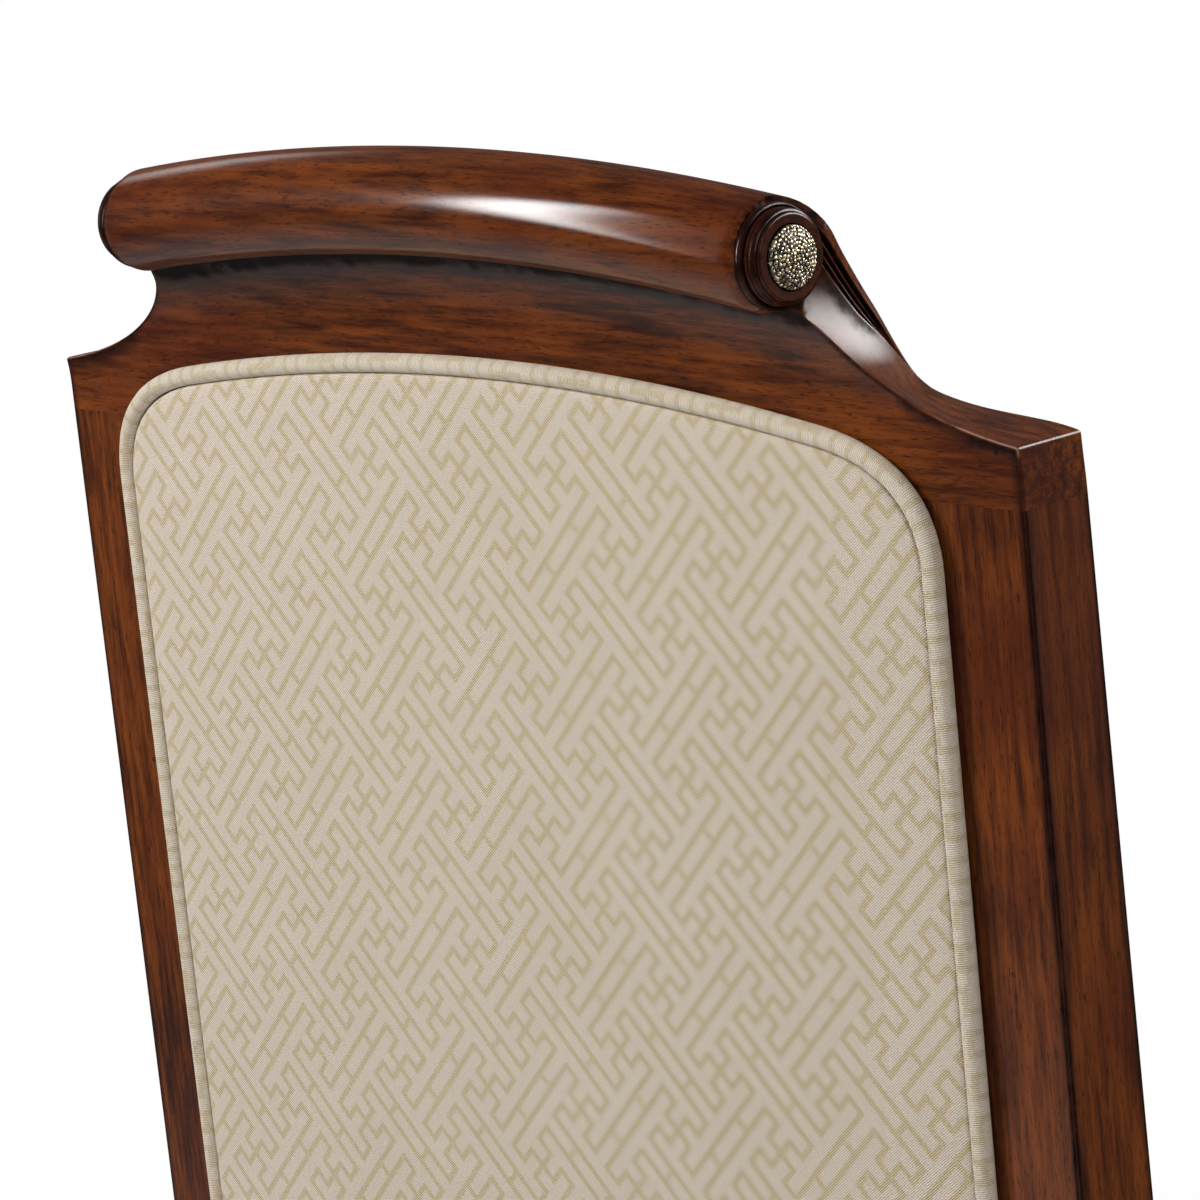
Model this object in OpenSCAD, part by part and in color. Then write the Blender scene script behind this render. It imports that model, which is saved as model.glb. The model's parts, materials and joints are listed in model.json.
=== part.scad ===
// Side chair with a scrolled crest rail and an upholstered back and seat.
// Millimetres. The chair faces -Y, +Z is up, and it stands on its glides at Z = 0.
// The back is built in its own frame: x across, y out of its rear face, z up along it,
// with z = 0 at the tips of the crest rail's ears.

/* [Back] */
// Width over the stiles
back_w = 500; // [440:5:560]
// Height of the ear tips above the floor
shoulder_h = 945; // [880:5:1010]
// Lean of the back from upright, in degrees
rake = 8; // [4:0.5:12]
// Width of a stile, seen from behind
stile_w = 48; // [44:1:56]
// Depth of a stile at the ear tips
stile_t = 29; // [24:1:36]
// Depth that a stile gains for each millimetre down
stile_growth = 0.02; // [0:0.005:0.03]
// Height of the lower back rail
low_rail_h = 46; // [36:1:60]
// Thickness of the lower back rail
low_rail_t = 26; // [20:1:28]
// Distance from the ear tips down to the lower back rail's underside
low_rail_drop = 424; // [395:1:440]

/* [Crest rail] */
// Depth of the crest rail below the ear tips
crest_drop = 20; // [14:1:30]
// Half width of the scroll's neck, and of the roll
neck_half = 169; // [150:1:180]
// Height of the roll's axis above the ear tips at mid width
roll_rise = 70.4; // [66:0.2:76]
// Distance of the roll's axis behind the rear face
roll_back = 16.3; // [15:0.1:19]
// Radius of the roll
roll_r = 18.6; // [17:0.1:20]
// Radius of the arch that the crest follows, to the roll's axis
arch_r = 1163; // [1000:1:1400]
// Width of the cove's ellipse, half axis
cove_a = 110; // [96:1:130]
// Height of the cove's ellipse, half axis
cove_b = 52; // [44:1:58]
// Radius of the turned boss on the roll's end
boss_r = 14.4; // [13:0.1:16]
// Length of the turned boss
boss_len = 6.5; // [4:0.1:9]
// Radius of the brass rosette
rosette_r = 10.2; // [8:0.1:12]
// Height of the rosette's dome
rosette_h = 4; // [3:0.1:6]

/* [Back upholstery] */
// Width of wood that shows beside the outside back panel
reveal = 34; // [30:0.5:38]
// Height of the panel's top edge above the ear tips at mid width
panel_top = 14.5; // [8:0.5:16]
// Distance from the ear tips down to the panel's lower edge
panel_drop = 396; // [370:1:410]
// Length of the panel's corner rounding along each side
panel_corner = 38; // [24:1:50]
// Thickness of the outside back board
board_t = 3; // [2:0.5:5]
// Thickness of the inside back board
inner_board_t = 6; // [4:0.5:9]
// Crown of the outside back cover
outside_crown = 3; // [2:0.5:8]
// Crown of the inside back cushion
inside_crown = 16; // [8:1:24]
// Height of the inside back cushion's sides
inside_side = 16; // [10:1:24]
// Diameter of the welt
welt_d = 7; // [5:0.5:9]
// Thickness of the cover cloth with its lining
cover_t = 1.6; // [1:0.1:2.5]

/* [Seat] */
// Height of the seat rails' top edge
rail_top = 414; // [390:1:430]
// Height of the seat rails
rail_h = 62; // [50:1:72]
// Thickness of the seat rails
rail_t = 24; // [20:1:28]
// Width over the front legs
front_w = 532; // [500:2:580]
// Depth from the front legs' face to the back legs' rear face at the seat
seat_depth = 460; // [420:5:500]
// Thickness of the seat board
seat_board_t = 10; // [8:1:15]
// Height of the seat cushion's sides
seat_side = 34; // [26:1:44]
// Crown of the seat cushion
seat_crown = 24; // [14:1:34]
// Rounding of the seat's corners in plan
seat_corner = 24; // [16:1:36]
// Set-back of the seat cushion from the rails' outer faces
seat_inset = 3; // [1:0.5:8]
// Gap from the seat cushion to the back legs
seat_gap = 4; // [2:0.5:10]

/* [Legs] */
// Side of the front leg's square block
block_w = 46; // [40:1:54]
// Height of the front leg's square block
block_h = 76; // [74:1:100]
// Largest radius of the turned leg
leg_r = 20; // [17:0.5:22]
// Radius of the turned leg above its foot
ankle_r = 12; // [10:0.5:14]
// Sweep of the back legs behind the knee
leg_sweep = 72; // [40:1:90]
// Depth of a back leg at the floor
foot_t = 31; // [26:1:38]
// Radius of a floor glide
glide_r = 9; // [7:0.5:11]
// Height of a floor glide
glide_h = 5; // [3:0.5:8]

/* [Joints] */
// Radius of the crest dowels
dowel_r = 5; // [4:0.5:5.5]
// Length of the crest dowels
dowel_len = 56; // [40:2:60]
// Thickness of the seat rails' tenons
tenon_t = 9; // [7:0.5:11]
// Length of the seat rails' tenons
tenon_len = 16; // [12:1:17]
// Radius of a wood screw's shank
screw_r = 2; // [1.5:0.25:2.5]
// Clearance round pins, dowels and tenons
fit = 0.1; // [0.05:0.05:0.3]
// Gap between soft pieces and what they lie on
soft_gap = 0.3; // [0.2:0.1:0.5]

/* [Hidden] */
$fn = 48;
mahogany = [0.33, 0.14, 0.07];
beech = [0.72, 0.56, 0.38];
ply = [0.76, 0.62, 0.42];
cloth = [0.78, 0.73, 0.62];
foam = [0.90, 0.86, 0.70];
brass = [0.66, 0.52, 0.26];
steel = [0.60, 0.60, 0.60];
black_cloth = [0.08, 0.08, 0.08];
eps = 0.01;

// Places worked out from the sizes above
half_w = back_w / 2;
knee_z = rail_top - rail_h / 2;
back_y = (shoulder_h - knee_z) * tan(rake);
arch_c = roll_rise - arch_r;
cove_u = neck_half + cove_a;
cove_v = cove_b * sqrt(1 - pow((cove_u - half_w) / cove_a, 2));
roll_end_v = arch_c + sqrt(pow(arch_r, 2) - pow(neck_half, 2));
front_y = -seat_depth;
rear_y = back_y + roll_rise * sin(rake) + roll_back * cos(rake) + roll_r;
centre_y = (front_y + rear_y) / 2;

// Points on a curve with one control point, an outline's mirror, and points between two others
function bend(p0, p1, p2, n) =
    [for (i = [0:n]) let (t = i / n) (1 - t) * (1 - t) * p0 + 2 * t * (1 - t) * p1 + t * t * p2];
function flip_x(pts) = [for (i = [len(pts) - 1:-1:0]) [-pts[i][0], pts[i][1]]];
function steps(p, q, n) = [for (i = [1:n - 1]) p + (q - p) * i / n];

// Depth of a stile at a height v of the back's frame
function stile_depth(v) = stile_t - stile_growth * v;
// A point of the back's frame, out (w) and up (v), as [Y, Z] of the chair
function on_side(w, v) = [back_y + v * sin(rake) + w * cos(rake), shoulder_h + v * cos(rake) - w * sin(rake)];

module centred() { translate([0, -centre_y, 0]) children(); }
module in_back() { centred() translate([0, back_y, shoulder_h]) rotate([-rake, 0, 0]) children(); }
// An outline in the back's plane (x across, y up), made thick from y0 to y1 of the back's frame
module back_plate(y0, y1) { translate([0, y1, 0]) rotate([90, 0, 0]) linear_extrude(y1 - y0) children(); }
module both() { children(); mirror([1, 0, 0]) children(); }

// Crest rail: side profile of the scroll at mid width, as [v, w]

flank = 30;
flank_v = 70;
flank_w = -11;
hood_r = 33;
toe_r = 47;
lean_v = 18;
lean_r = 57;
front_lean = atan(stile_growth);
roll_c = [roll_rise, roll_back];
along = [cos(flank), sin(flank)];
across = [-sin(flank), cos(flank)];
flank_p = [flank_v, flank_w];
roll_s = along * (roll_c - flank_p);
roll_d = across * (roll_c - flank_p);
hood_s = roll_s - sqrt((roll_d - roll_r) * (2 * hood_r - roll_r - roll_d));
hood_c = flank_p + hood_s * along + hood_r * across;
hood_end = atan2(roll_c[0] - hood_c[0], hood_c[1] - roll_c[1]);
toe_v = (flank_w - flank_v * tan(flank) + stile_t) / (stile_growth - tan(flank));
toe_len = toe_r * tan((flank - front_lean) / 2);
toe_c = [toe_v, stile_growth * toe_v - stile_t] - toe_len * [cos(front_lean), sin(front_lean)]
    + toe_r * [-sin(front_lean), cos(front_lean)];
lean_c = [lean_v, lean_r];
under_d = norm(lean_c - roll_c);
under_dir = (lean_c - roll_c) / under_d;
under_a = (pow(under_d, 2) + pow(roll_r, 2) - pow(lean_r, 2)) / (2 * under_d);
under = roll_c + under_a * under_dir
    + sqrt(pow(roll_r, 2) - pow(under_a, 2)) * [-under_dir[1], under_dir[0]];
under_turn = 360 + atan2(under[0] - roll_c[0], roll_c[1] - under[1]);
below = 8;
profile_foot = -crest_drop - below;

function sweep(c, r, a0, a1, n) =
    [for (i = [0:n]) let (a = a0 + (a1 - a0) * i / n) c + r * [sin(a), -cos(a)]];
function scroll_profile() = concat(
    [[profile_foot, -stile_depth(profile_foot)]],
    sweep(toe_c, toe_r, front_lean, flank, 5),
    sweep(hood_c, hood_r, flank, hood_end, 6),
    [for (i = [1:24]) roll_c + roll_r * [sin(hood_end + (under_turn - hood_end) * i / 24),
                                         -cos(hood_end + (under_turn - hood_end) * i / 24)]],
    [for (i = [5:-1:0]) let (v = lean_v + (under[0] - lean_v) * i / 6)
        [v, lean_r - sqrt(pow(lean_r, 2) - pow(v - lean_v, 2))]],
    [[profile_foot, 0]]);

// Half of the crest rail's outline from behind: neck, cove and ear
cove_end = acos((cove_u - half_w) / cove_a);
crest_top = roll_rise + 2 * roll_r;
function crest_half() = concat(
    [[neck_half, crest_top]],
    [for (i = [0:14]) let (a = cove_end * i / 14) [cove_u - cove_a * cos(a), cove_v - cove_b * sin(a)]],
    [[half_w, -crest_drop]]);

// The scroll's side profile swept along the arch
module arch(span) {
    translate([0, 0, arch_c])
        rotate([90, 0, 0])
            rotate([0, 0, 90 - span / 2])
                rotate_extrude(angle = span)
                    polygon([for (p = scroll_profile()) [p[0] - arch_c, -p[1]]]);
}

pin_len = 14;
ring_r = boss_r + 1.8;
ring_len = 2.5;
module roll_end() {
    translate([neck_half - eps, roll_back, roll_end_v]) rotate([0, 90, 0]) children();
}

dowel_cover = 4;
dowel_apart = 18;
dowel_u = [half_w - (stile_w + dowel_apart) / 2, half_w - (stile_w - dowel_apart) / 2];
dowel_w = -stile_t / 2;
// Dowels, and their bores when given a clearance and extra length; so too for the sets below
module crest_dowel_set(r, extra) {
    both() for (u = dowel_u)
        translate([u, dowel_w, -dowel_cover - dowel_len - extra]) cylinder(r = r, h = dowel_len + 2 * extra);
}

module crest_rail() {
    color(mahogany) in_back() difference() {
        union() {
            intersection() {
                arch(30);
                back_plate(-2 * stile_t, roll_back + 2 * roll_r)
                    polygon(concat(crest_half(), flip_x(crest_half())));
            }
            both() roll_end() {
                cylinder(r = boss_r, h = boss_len);
                cylinder(r = ring_r, h = ring_len);
            }
        }
        both() roll_end() translate([0, 0, boss_len - pin_len]) cylinder(r = screw_r + fit, h = pin_len + 1);
        crest_dowel_set(dowel_r + fit, 1);
    }
}

dome_r = (pow(rosette_r, 2) + pow(rosette_h, 2)) / (2 * rosette_h);
module rosette() {
    color(brass) in_back() roll_end() translate([0, 0, boss_len]) {
        intersection() {
            translate([0, 0, rosette_h - dome_r]) sphere(r = dome_r, $fn = 64);
            cylinder(r = rosette_r, h = rosette_h + 1);
        }
        translate([0, 0, 1 - pin_len]) cylinder(r = screw_r, h = pin_len);
    }
}
module rosette_right() { rosette(); }
module rosette_left() { mirror([1, 0, 0]) rosette(); }

module crest_dowels() { color(beech) in_back() crest_dowel_set(dowel_r, 0); }

// Back legs, which run up as stiles

knee_v = -(shoulder_h - knee_z) / cos(rake);
knee_pull = (knee_z - glide_h) / 2;
foot_w = 36;
stile_top_front = on_side(-stile_depth(-crest_drop), -crest_drop);
knee_front = on_side(-stile_depth(knee_v), knee_v);
// Y of a stile's front face at a height z
function stile_front_y(z) = knee_front[0]
    + (stile_top_front[0] - knee_front[0]) * (z - knee_front[1]) / (stile_top_front[1] - knee_front[1]);
function leg_side() = concat(
    [stile_top_front],
    bend(knee_front, knee_front - knee_pull * [tan(rake), 1], [leg_sweep - foot_t, glide_h], 12),
    bend([leg_sweep, glide_h], [0, knee_z] - knee_pull * [tan(rake), 1], [0, knee_z], 12),
    [on_side(0, -crest_drop)]);

// A back leg before its mortises, made wider by grow on each face
module leg_blank(grow = 0) {
    translate([half_w - stile_w - grow, 0, 0]) rotate([90, 0, 90])
        linear_extrude(stile_w + 2 * grow)
            if (grow > 0) translate([-grow, 0]) polygon(leg_side());
            else polygon(leg_side());
}

rail_bottom = rail_top - rail_h;
tenon_inset = 8;
tenon_h = rail_h - 2 * tenon_inset;
tenon_root = 14;
rail_set = 2;
back_rail_set = 3;
back_rail_y = [-rail_t - back_rail_set, -back_rail_set];
side_out_front = front_w / 2 - rail_set;
side_out_back = half_w - rail_set;
side_front_y = front_y + block_w;
side_back_y = stile_front_y(rail_top);
// Outer X of a side rail at a depth y
function side_x(y) = side_out_front
    + (side_out_back - side_out_front) * (y - side_front_y) / (side_back_y - side_front_y);

// Tenons, and their mortises when grown by the clearance
module tenon_box(x0, x1, y0, y1, grow) {
    translate([x0 - grow, y0 - grow, rail_bottom + tenon_inset - grow])
        cube([x1 - x0 + 2 * grow, y1 - y0 + 2 * grow, tenon_h + 2 * grow]);
}
module back_tenon(grow = 0) {
    y = (back_rail_y[0] + back_rail_y[1] - tenon_t) / 2;
    tenon_box(half_w - stile_w - eps, half_w - stile_w + tenon_len, y, y + tenon_t, grow);
}
module side_back_tenon(grow = 0) {
    x = side_x(side_back_y) - (rail_t + tenon_t) / 2;
    tenon_box(x, x + tenon_t, side_back_y - tenon_root, side_back_y + tenon_len, grow);
}
module side_front_tenon(grow = 0) {
    x = side_x(side_front_y) - (rail_t + tenon_t) / 2;
    tenon_box(x, x + tenon_t, side_front_y - tenon_len, side_front_y + eps, grow);
}
module front_tenon(grow = 0) {
    y = front_y + rail_set + (rail_t - tenon_t) / 2;
    x = front_w / 2 - block_w;
    tenon_box(x - eps, x + tenon_len, y, y + tenon_t, grow);
}

low_dowel_r = 4;
low_dowel_len = 40;
low_rail_mid = -low_rail_drop + low_rail_h / 2;
low_dowel_w = -low_rail_t / 2;
module low_dowel_set(r, extra) {
    both() for (v = [-low_rail_h, low_rail_h] / 4)
        translate([half_w - stile_w - low_dowel_len / 2 - extra, low_dowel_w, low_rail_mid + v])
            rotate([0, 90, 0]) cylinder(r = r, h = low_dowel_len + 2 * extra);
}

module back_leg_right() {
    color(mahogany) difference() {
        centred() difference() {
            intersection() {
                leg_blank();
                translate([0, seat_depth, 0]) rotate([90, 0, 0]) linear_extrude(2 * seat_depth)
                    polygon([[half_w, 0], [half_w, shoulder_h], [half_w - stile_w, shoulder_h],
                             [half_w - stile_w, rail_bottom], [half_w - foot_w, glide_h],
                             [half_w - foot_w, 0]]);
            }
            back_tenon(fit);
            side_back_tenon(fit);
            glide_pin(back_foot, glide_pin_r + fit, 1);
            corner_screw_at(back_corner, screw_r + fit, 1);
        }
        in_back() {
            crest_dowel_set(dowel_r + fit, 1);
            low_dowel_set(low_dowel_r + fit, 1);
        }
        in_front() board_screw_set(board_screw_r + fit, 1);
    }
}
module back_leg_left() { mirror([1, 0, 0]) back_leg_right(); }

module lower_back_rail() {
    color(mahogany) in_back() difference() {
        translate([-half_w + stile_w, -low_rail_t, -low_rail_drop])
            cube([back_w - 2 * stile_w, low_rail_t, low_rail_h]);
        low_dowel_set(low_dowel_r + fit, 1);
    }
}
module lower_rail_dowels() { color(beech) in_back() low_dowel_set(low_dowel_r, 0); }

// Upholstery of the back: one set of modules serves its rear and its front

// Outline of the outside back panel, set in by e, as [u, v]
function panel_half(e) =
    let (w = half_w - reveal - e, r = panel_top - arch_c - e, c = panel_corner, b = -panel_drop + e,
         edge = function (u) arch_c + sqrt(r * r - u * u))
    concat(
        [for (i = [0:4]) let (u = (w - c) * i / 5) [u, edge(u)]],
        bend([w - c, edge(w - c)], [w, edge(w)], [w, edge(w) - c], 5),
        steps([w, edge(w) - c], [w, b + c], 4),
        bend([w, b + c], [w, b], [w - c, b], 5),
        steps([w - c, b], [0, b], 3),
        [[0, b]]);
function whole(half) = concat(half, [for (i = [len(half) - 2:-1:1]) [-half[i][0], half[i][1]]]);
function panel(e) = whole(panel_half(e));

// A crowned form over an outline: rings are [scale, height] from its base to its crown
module crowned(outline, centre, rings) {
    n = len(outline);
    m = len(rings);
    pts = concat(
        [[centre[0], centre[1], rings[0][1]]],
        [for (g = rings, p = outline) [centre[0] + (p[0] - centre[0]) * g[0],
                                       centre[1] + (p[1] - centre[1]) * g[0], g[1]]],
        [[centre[0], centre[1], rings[m - 1][1]]]);
    top = n * m + 1;
    polyhedron(pts, concat(
        [for (i = [0:n - 1]) [0, 1 + (i + 1) % n, 1 + i]],
        [for (k = [0:m - 2], i = [0:n - 1]) let (a = 1 + k * n + i, b = 1 + k * n + (i + 1) % n)
            [a, b, b + n]],
        [for (k = [0:m - 2], i = [0:n - 1]) let (a = 1 + k * n + i, b = 1 + k * n + (i + 1) % n)
            [a, b + n, a + n]],
        [for (i = [0:n - 1]) [top, top - n + i, top - n + (i + 1) % n]]));
}
// Rings of a cushion: sides drawn in at the base, a rounded shoulder, and a crown
function cushion_rings(base, side, crown) = concat(
    [[0.985, base], [1, base + 0.5 * side], [0.99, base + 0.85 * side], [0.965, base + side]],
    [for (t = [0.12, 0.3, 0.55, 0.82]) [0.965 * (1 - t), base + side + crown * (1 - pow(1 - t, 2.4))]]);

// A tube along a path of [x, y] points at one height, closed or with flat ends
module welt_tube(path, r, closed) {
    n = len(path);
    sides = 6;
    dirs = [for (i = [0:n - 1])
        let (a = closed ? path[(i + n - 1) % n] : path[max(i - 1, 0)],
             b = closed ? path[(i + 1) % n] : path[min(i + 1, n - 1)])
        (b - a) / norm(b - a)];
    pts = [for (i = [0:n - 1], k = [0:sides - 1]) let (a = 30 + 360 * k / sides)
        [path[i][0] + r * cos(a) * dirs[i][1], path[i][1] - r * cos(a) * dirs[i][0], r * sin(a)]];
    walls = [for (i = [0:n - (closed ? 1 : 2)], k = [0:sides - 1])
        let (a = i * sides, b = (i + 1) % n * sides, j = (k + 1) % sides)
        each [[a + k, b + k, b + j], [a + k, b + j, a + j]]];
    ends = closed ? [] : [for (k = [1:sides - 2]) each
        [[0, k, k + 1], [(n - 1) * sides, (n - 1) * sides + k + 1, (n - 1) * sides + k]]];
    polyhedron(pts, concat(walls, ends));
}

// The frame's rear face, and its front face, each with Z out of it and Y up
module in_rear_face() { in_back() mirror([0, 1, 0]) rotate([90, 0, 0]) children(); }
module in_front() {
    in_back() translate([0, -stile_t, 0]) rotate([-front_lean, 0, 0]) rotate([90, 0, 0]) children();
}

panel_mid = [0, (panel_top - panel_drop) / 2];
welt_r = welt_d / 2;
cover_inset = welt_d + 2 * soft_gap;
outside_side = 2.4;

module panel_board(t, e) { linear_extrude(t) polygon(panel(e)); }
module panel_welt(t) { translate([0, 0, t + soft_gap + welt_r]) welt_tube(panel(welt_r), welt_r, true); }
module panel_stuffing(t, side, crown) {
    crowned(panel(cover_inset + cover_t + soft_gap), panel_mid,
            cushion_rings(t + soft_gap, side - cover_t - 2 * soft_gap, crown));
}
module panel_cover(t, side, crown) {
    difference() {
        crowned(panel(cover_inset), panel_mid, cushion_rings(t + soft_gap, side, crown));
        translate([0, 0, -cover_t])
            crowned(panel(cover_inset + cover_t), panel_mid, cushion_rings(t + soft_gap, side, crown));
    }
}

// The outside back's welt lies on the wood, round the board; the inside back's lies on its board
module outside_back_board() { color(ply) in_rear_face() panel_board(board_t, cover_inset); }
module outside_back_wadding() { color(foam) in_rear_face() panel_stuffing(board_t, outside_side, outside_crown); }
module outside_back_cover() { color(cloth) in_rear_face() panel_cover(board_t, outside_side, outside_crown); }
module outside_back_welt() { color(cloth) in_rear_face() panel_welt(0); }

board_screw_r = 1.5;
board_screw_len = 20;
board_head_h = 2;
board_head_in = 1;
board_screw_u = half_w - (stile_w + reveal) / 2;
board_screw_v = [-60, -190, -320];
// Children at each fixing screw of the inside back board, with z = 0 at its head's face
module at_board_screws() {
    both() for (v = board_screw_v) translate([board_screw_u, v, inner_board_t - board_head_in]) children();
}
module board_screw_set(r, extra) {
    at_board_screws() translate([0, 0, -board_screw_len - extra]) cylinder(r = r, h = board_screw_len + extra);
}
module inside_back_screws() {
    color(steel) in_front() {
        board_screw_set(board_screw_r, 0);
        at_board_screws() translate([0, 0, -board_head_h])
            cylinder(r1 = board_screw_r, r2 = 2 * board_screw_r, h = board_head_h);
    }
}
module inside_back_board() {
    color(ply) in_front() difference() {
        panel_board(inner_board_t, soft_gap);
        at_board_screws() {
            translate([0, 0, -inner_board_t]) cylinder(r = board_screw_r + fit, h = 2 * inner_board_t);
            translate([0, 0, -board_head_h]) cylinder(r = 2 * board_screw_r + fit, h = inner_board_t);
        }
    }
}
module inside_back_foam() { color(foam) in_front() panel_stuffing(inner_board_t, inside_side, inside_crown); }
module inside_back_cover() { color(cloth) in_front() panel_cover(inner_board_t, inside_side, inside_crown); }
module inside_back_welt() { color(cloth) in_front() panel_welt(inner_board_t); }

// Front legs

block_z = rail_top - block_h;
toe_z = 46;
bead = 3;
function leg_turning() = [
    [0, block_z + 2 * bead], [leg_r - 1, block_z + 2 * bead], [leg_r - 1, block_z - bead],
    [leg_r - 2 * bead, block_z - 2 * bead], [leg_r - 2 * bead, block_z - 4 * bead],
    [leg_r - bead, block_z - 5 * bead], [leg_r, block_z - 6.5 * bead], [leg_r - bead, block_z - 8 * bead],
    [leg_r - 1.6 * bead, block_z - 9 * bead], [leg_r - 0.7 * bead, block_z - 12 * bead],
    [leg_r - bead, block_z - 20 * bead],
    [ankle_r, toe_z + 2 * bead], [ankle_r - 0.3 * bead, toe_z], [ankle_r + bead, toe_z - bead],
    [ankle_r + 1.3 * bead, toe_z - 2.5 * bead], [ankle_r + bead, toe_z - 4 * bead],
    [ankle_r - 0.2 * bead, toe_z - 5 * bead], [ankle_r + 0.6 * bead, toe_z - 9 * bead],
    [ankle_r, glide_h], [0, glide_h]];

front_foot = [front_w / 2 - block_w / 2, front_y + block_w / 2];
back_foot = [half_w - foot_w / 2, leg_sweep - foot_t / 2];
module front_leg_right() {
    color(mahogany) centred() difference() {
        union() {
            translate([front_w / 2 - block_w, front_y, block_z]) cube([block_w, block_w, block_h]);
            translate(front_foot) rotate_extrude($fn = 64) polygon(leg_turning());
        }
        front_tenon(fit);
        side_front_tenon(fit);
        glide_pin(front_foot, glide_pin_r + fit, 1);
        corner_screw_at(front_corner, screw_r + fit, 1);
    }
}
module front_leg_left() { mirror([1, 0, 0]) front_leg_right(); }

glide_pin_r = 1.5;
glide_pin_len = 12;
module glide_pin(at, r, extra) {
    translate([at[0], at[1], glide_h - eps]) cylinder(r = r, h = glide_pin_len + extra);
}
module glides() {
    color(steel) centred() both() for (at = [front_foot, back_foot]) {
        translate(at) cylinder(r = glide_r, h = glide_h);
        glide_pin(at, glide_pin_r, 0);
    }
}

// Seat frame

module front_seat_rail() {
    color(mahogany) centred() {
        x = front_w / 2 - block_w;
        translate([-x, front_y + rail_set, rail_bottom]) cube([2 * x, rail_t, rail_h]);
        both() front_tenon();
    }
}
module back_seat_rail() {
    color(mahogany) centred() {
        x = half_w - stile_w;
        translate([-x, back_rail_y[0], rail_bottom]) cube([2 * x, rail_t, rail_h]);
        both() back_tenon();
    }
}
module side_seat_rail_right() {
    color(mahogany) centred() {
        difference() {
            y1 = side_back_y + tenon_len;
            translate([0, 0, rail_bottom]) linear_extrude(rail_h)
                polygon([[side_x(side_front_y), side_front_y], [side_x(y1), y1],
                         [side_x(y1) - rail_t, y1], [side_x(side_front_y) - rail_t, side_front_y]]);
            leg_blank();
        }
        side_back_tenon();
        side_front_tenon();
    }
}
module side_seat_rail_left() { mirror([1, 0, 0]) side_seat_rail_right(); }

// Corner blocks: each fills a corner of the frame, and a screw runs through it to the leg
block_reach = 56;
corner_h = 28;
corner_screw_len = 44;
corner_screw_back = 19;
front_corner = [front_w / 2 - block_w, side_front_y, -1];
back_corner = [half_w - stile_w, side_back_y, 1];
corner_z = rail_top - corner_h;
module corner_screw_at(c, r, extra) {
    translate([c[0] - corner_screw_back, c[1] - corner_screw_back * c[2], corner_z + corner_h / 2])
        rotate([0, 90, 45 * c[2]]) cylinder(r = r, h = corner_screw_len + extra);
}
seat_screw_in = 22;
seat_screw_off = 4;
seat_screw_short = 3;
module seat_screw_at(c, r, extra) {
    translate([c[0] - seat_screw_in, c[1] - seat_screw_off * c[2], corner_z - extra])
        cylinder(r = r, h = corner_h + seat_board_t - seat_screw_short + extra);
}
module corner_block_front_right() {
    color(beech) centred() difference() {
        translate([0, 0, corner_z]) linear_extrude(corner_h)
            polygon([[front_corner[0] - block_reach, front_y + rail_set + rail_t],
                     [front_corner[0], front_y + rail_set + rail_t], [front_corner[0], side_front_y],
                     [side_x(side_front_y) - rail_t, side_front_y],
                     [side_x(side_front_y + block_reach) - rail_t, side_front_y + block_reach]]);
        corner_screw_at(front_corner, screw_r + fit, 1);
        seat_screw_at(front_corner, screw_r + fit, 1);
    }
}
module corner_block_back_right() {
    color(beech) centred() difference() {
        translate([0, 0, corner_z]) linear_extrude(corner_h)
            polygon([[back_corner[0] - block_reach, back_rail_y[0]], [back_corner[0], back_rail_y[0]],
                     [side_x(back_rail_y[0]) - rail_t, back_rail_y[0]],
                     [side_x(side_back_y - block_reach) - rail_t, side_back_y - block_reach]]);
        leg_blank();
        corner_screw_at(back_corner, screw_r + fit, 1);
        seat_screw_at(back_corner, screw_r + fit, 1);
    }
}
module corner_block_front_left() { mirror([1, 0, 0]) corner_block_front_right(); }
module corner_block_back_left() { mirror([1, 0, 0]) corner_block_back_right(); }
module corner_block_screws() {
    color(steel) centred() both() for (c = [front_corner, back_corner]) corner_screw_at(c, screw_r, 0);
}
module seat_board_screws() {
    color(steel) centred() both() for (c = [front_corner, back_corner]) seat_screw_at(c, screw_r, 0);
}

// Seat

seat_back_y = back_rail_y[1] - 2 * seat_inset;
back_round = 10;
// Outline of the seat, set in by e, as [x, y]
function seat_half(e) =
    let (xf = front_w / 2 - seat_inset - e, xb = half_w - seat_inset - e, yf = front_y + seat_inset + e,
         yb = seat_back_y - e, c = seat_corner, side = [xb - xf, yb - yf] / norm([xb - xf, yb - yf]))
    concat(
        [[0, yf]],
        steps([0, yf], [xf - c, yf], 4),
        bend([xf - c, yf], [xf, yf], [xf, yf] + c * side, 5),
        steps([xf, yf] + c * side, [xb, yb] - back_round * side, 6),
        bend([xb, yb] - back_round * side, [xb, yb], [xb - back_round, yb], 3),
        steps([xb - back_round, yb], [0, yb], 3),
        [[0, yb]]);
// The whole outline, turned the same way round as the panels' outline
function seat_plan(e) = let (p = whole(seat_half(e))) [for (i = [len(p) - 1:-1:0]) p[i]];
seat_mid = [0, (front_y + seat_back_y) / 2];
seat_base = rail_top + seat_board_t + soft_gap;
cover_base = rail_top + welt_d + 2 * soft_gap;

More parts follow.
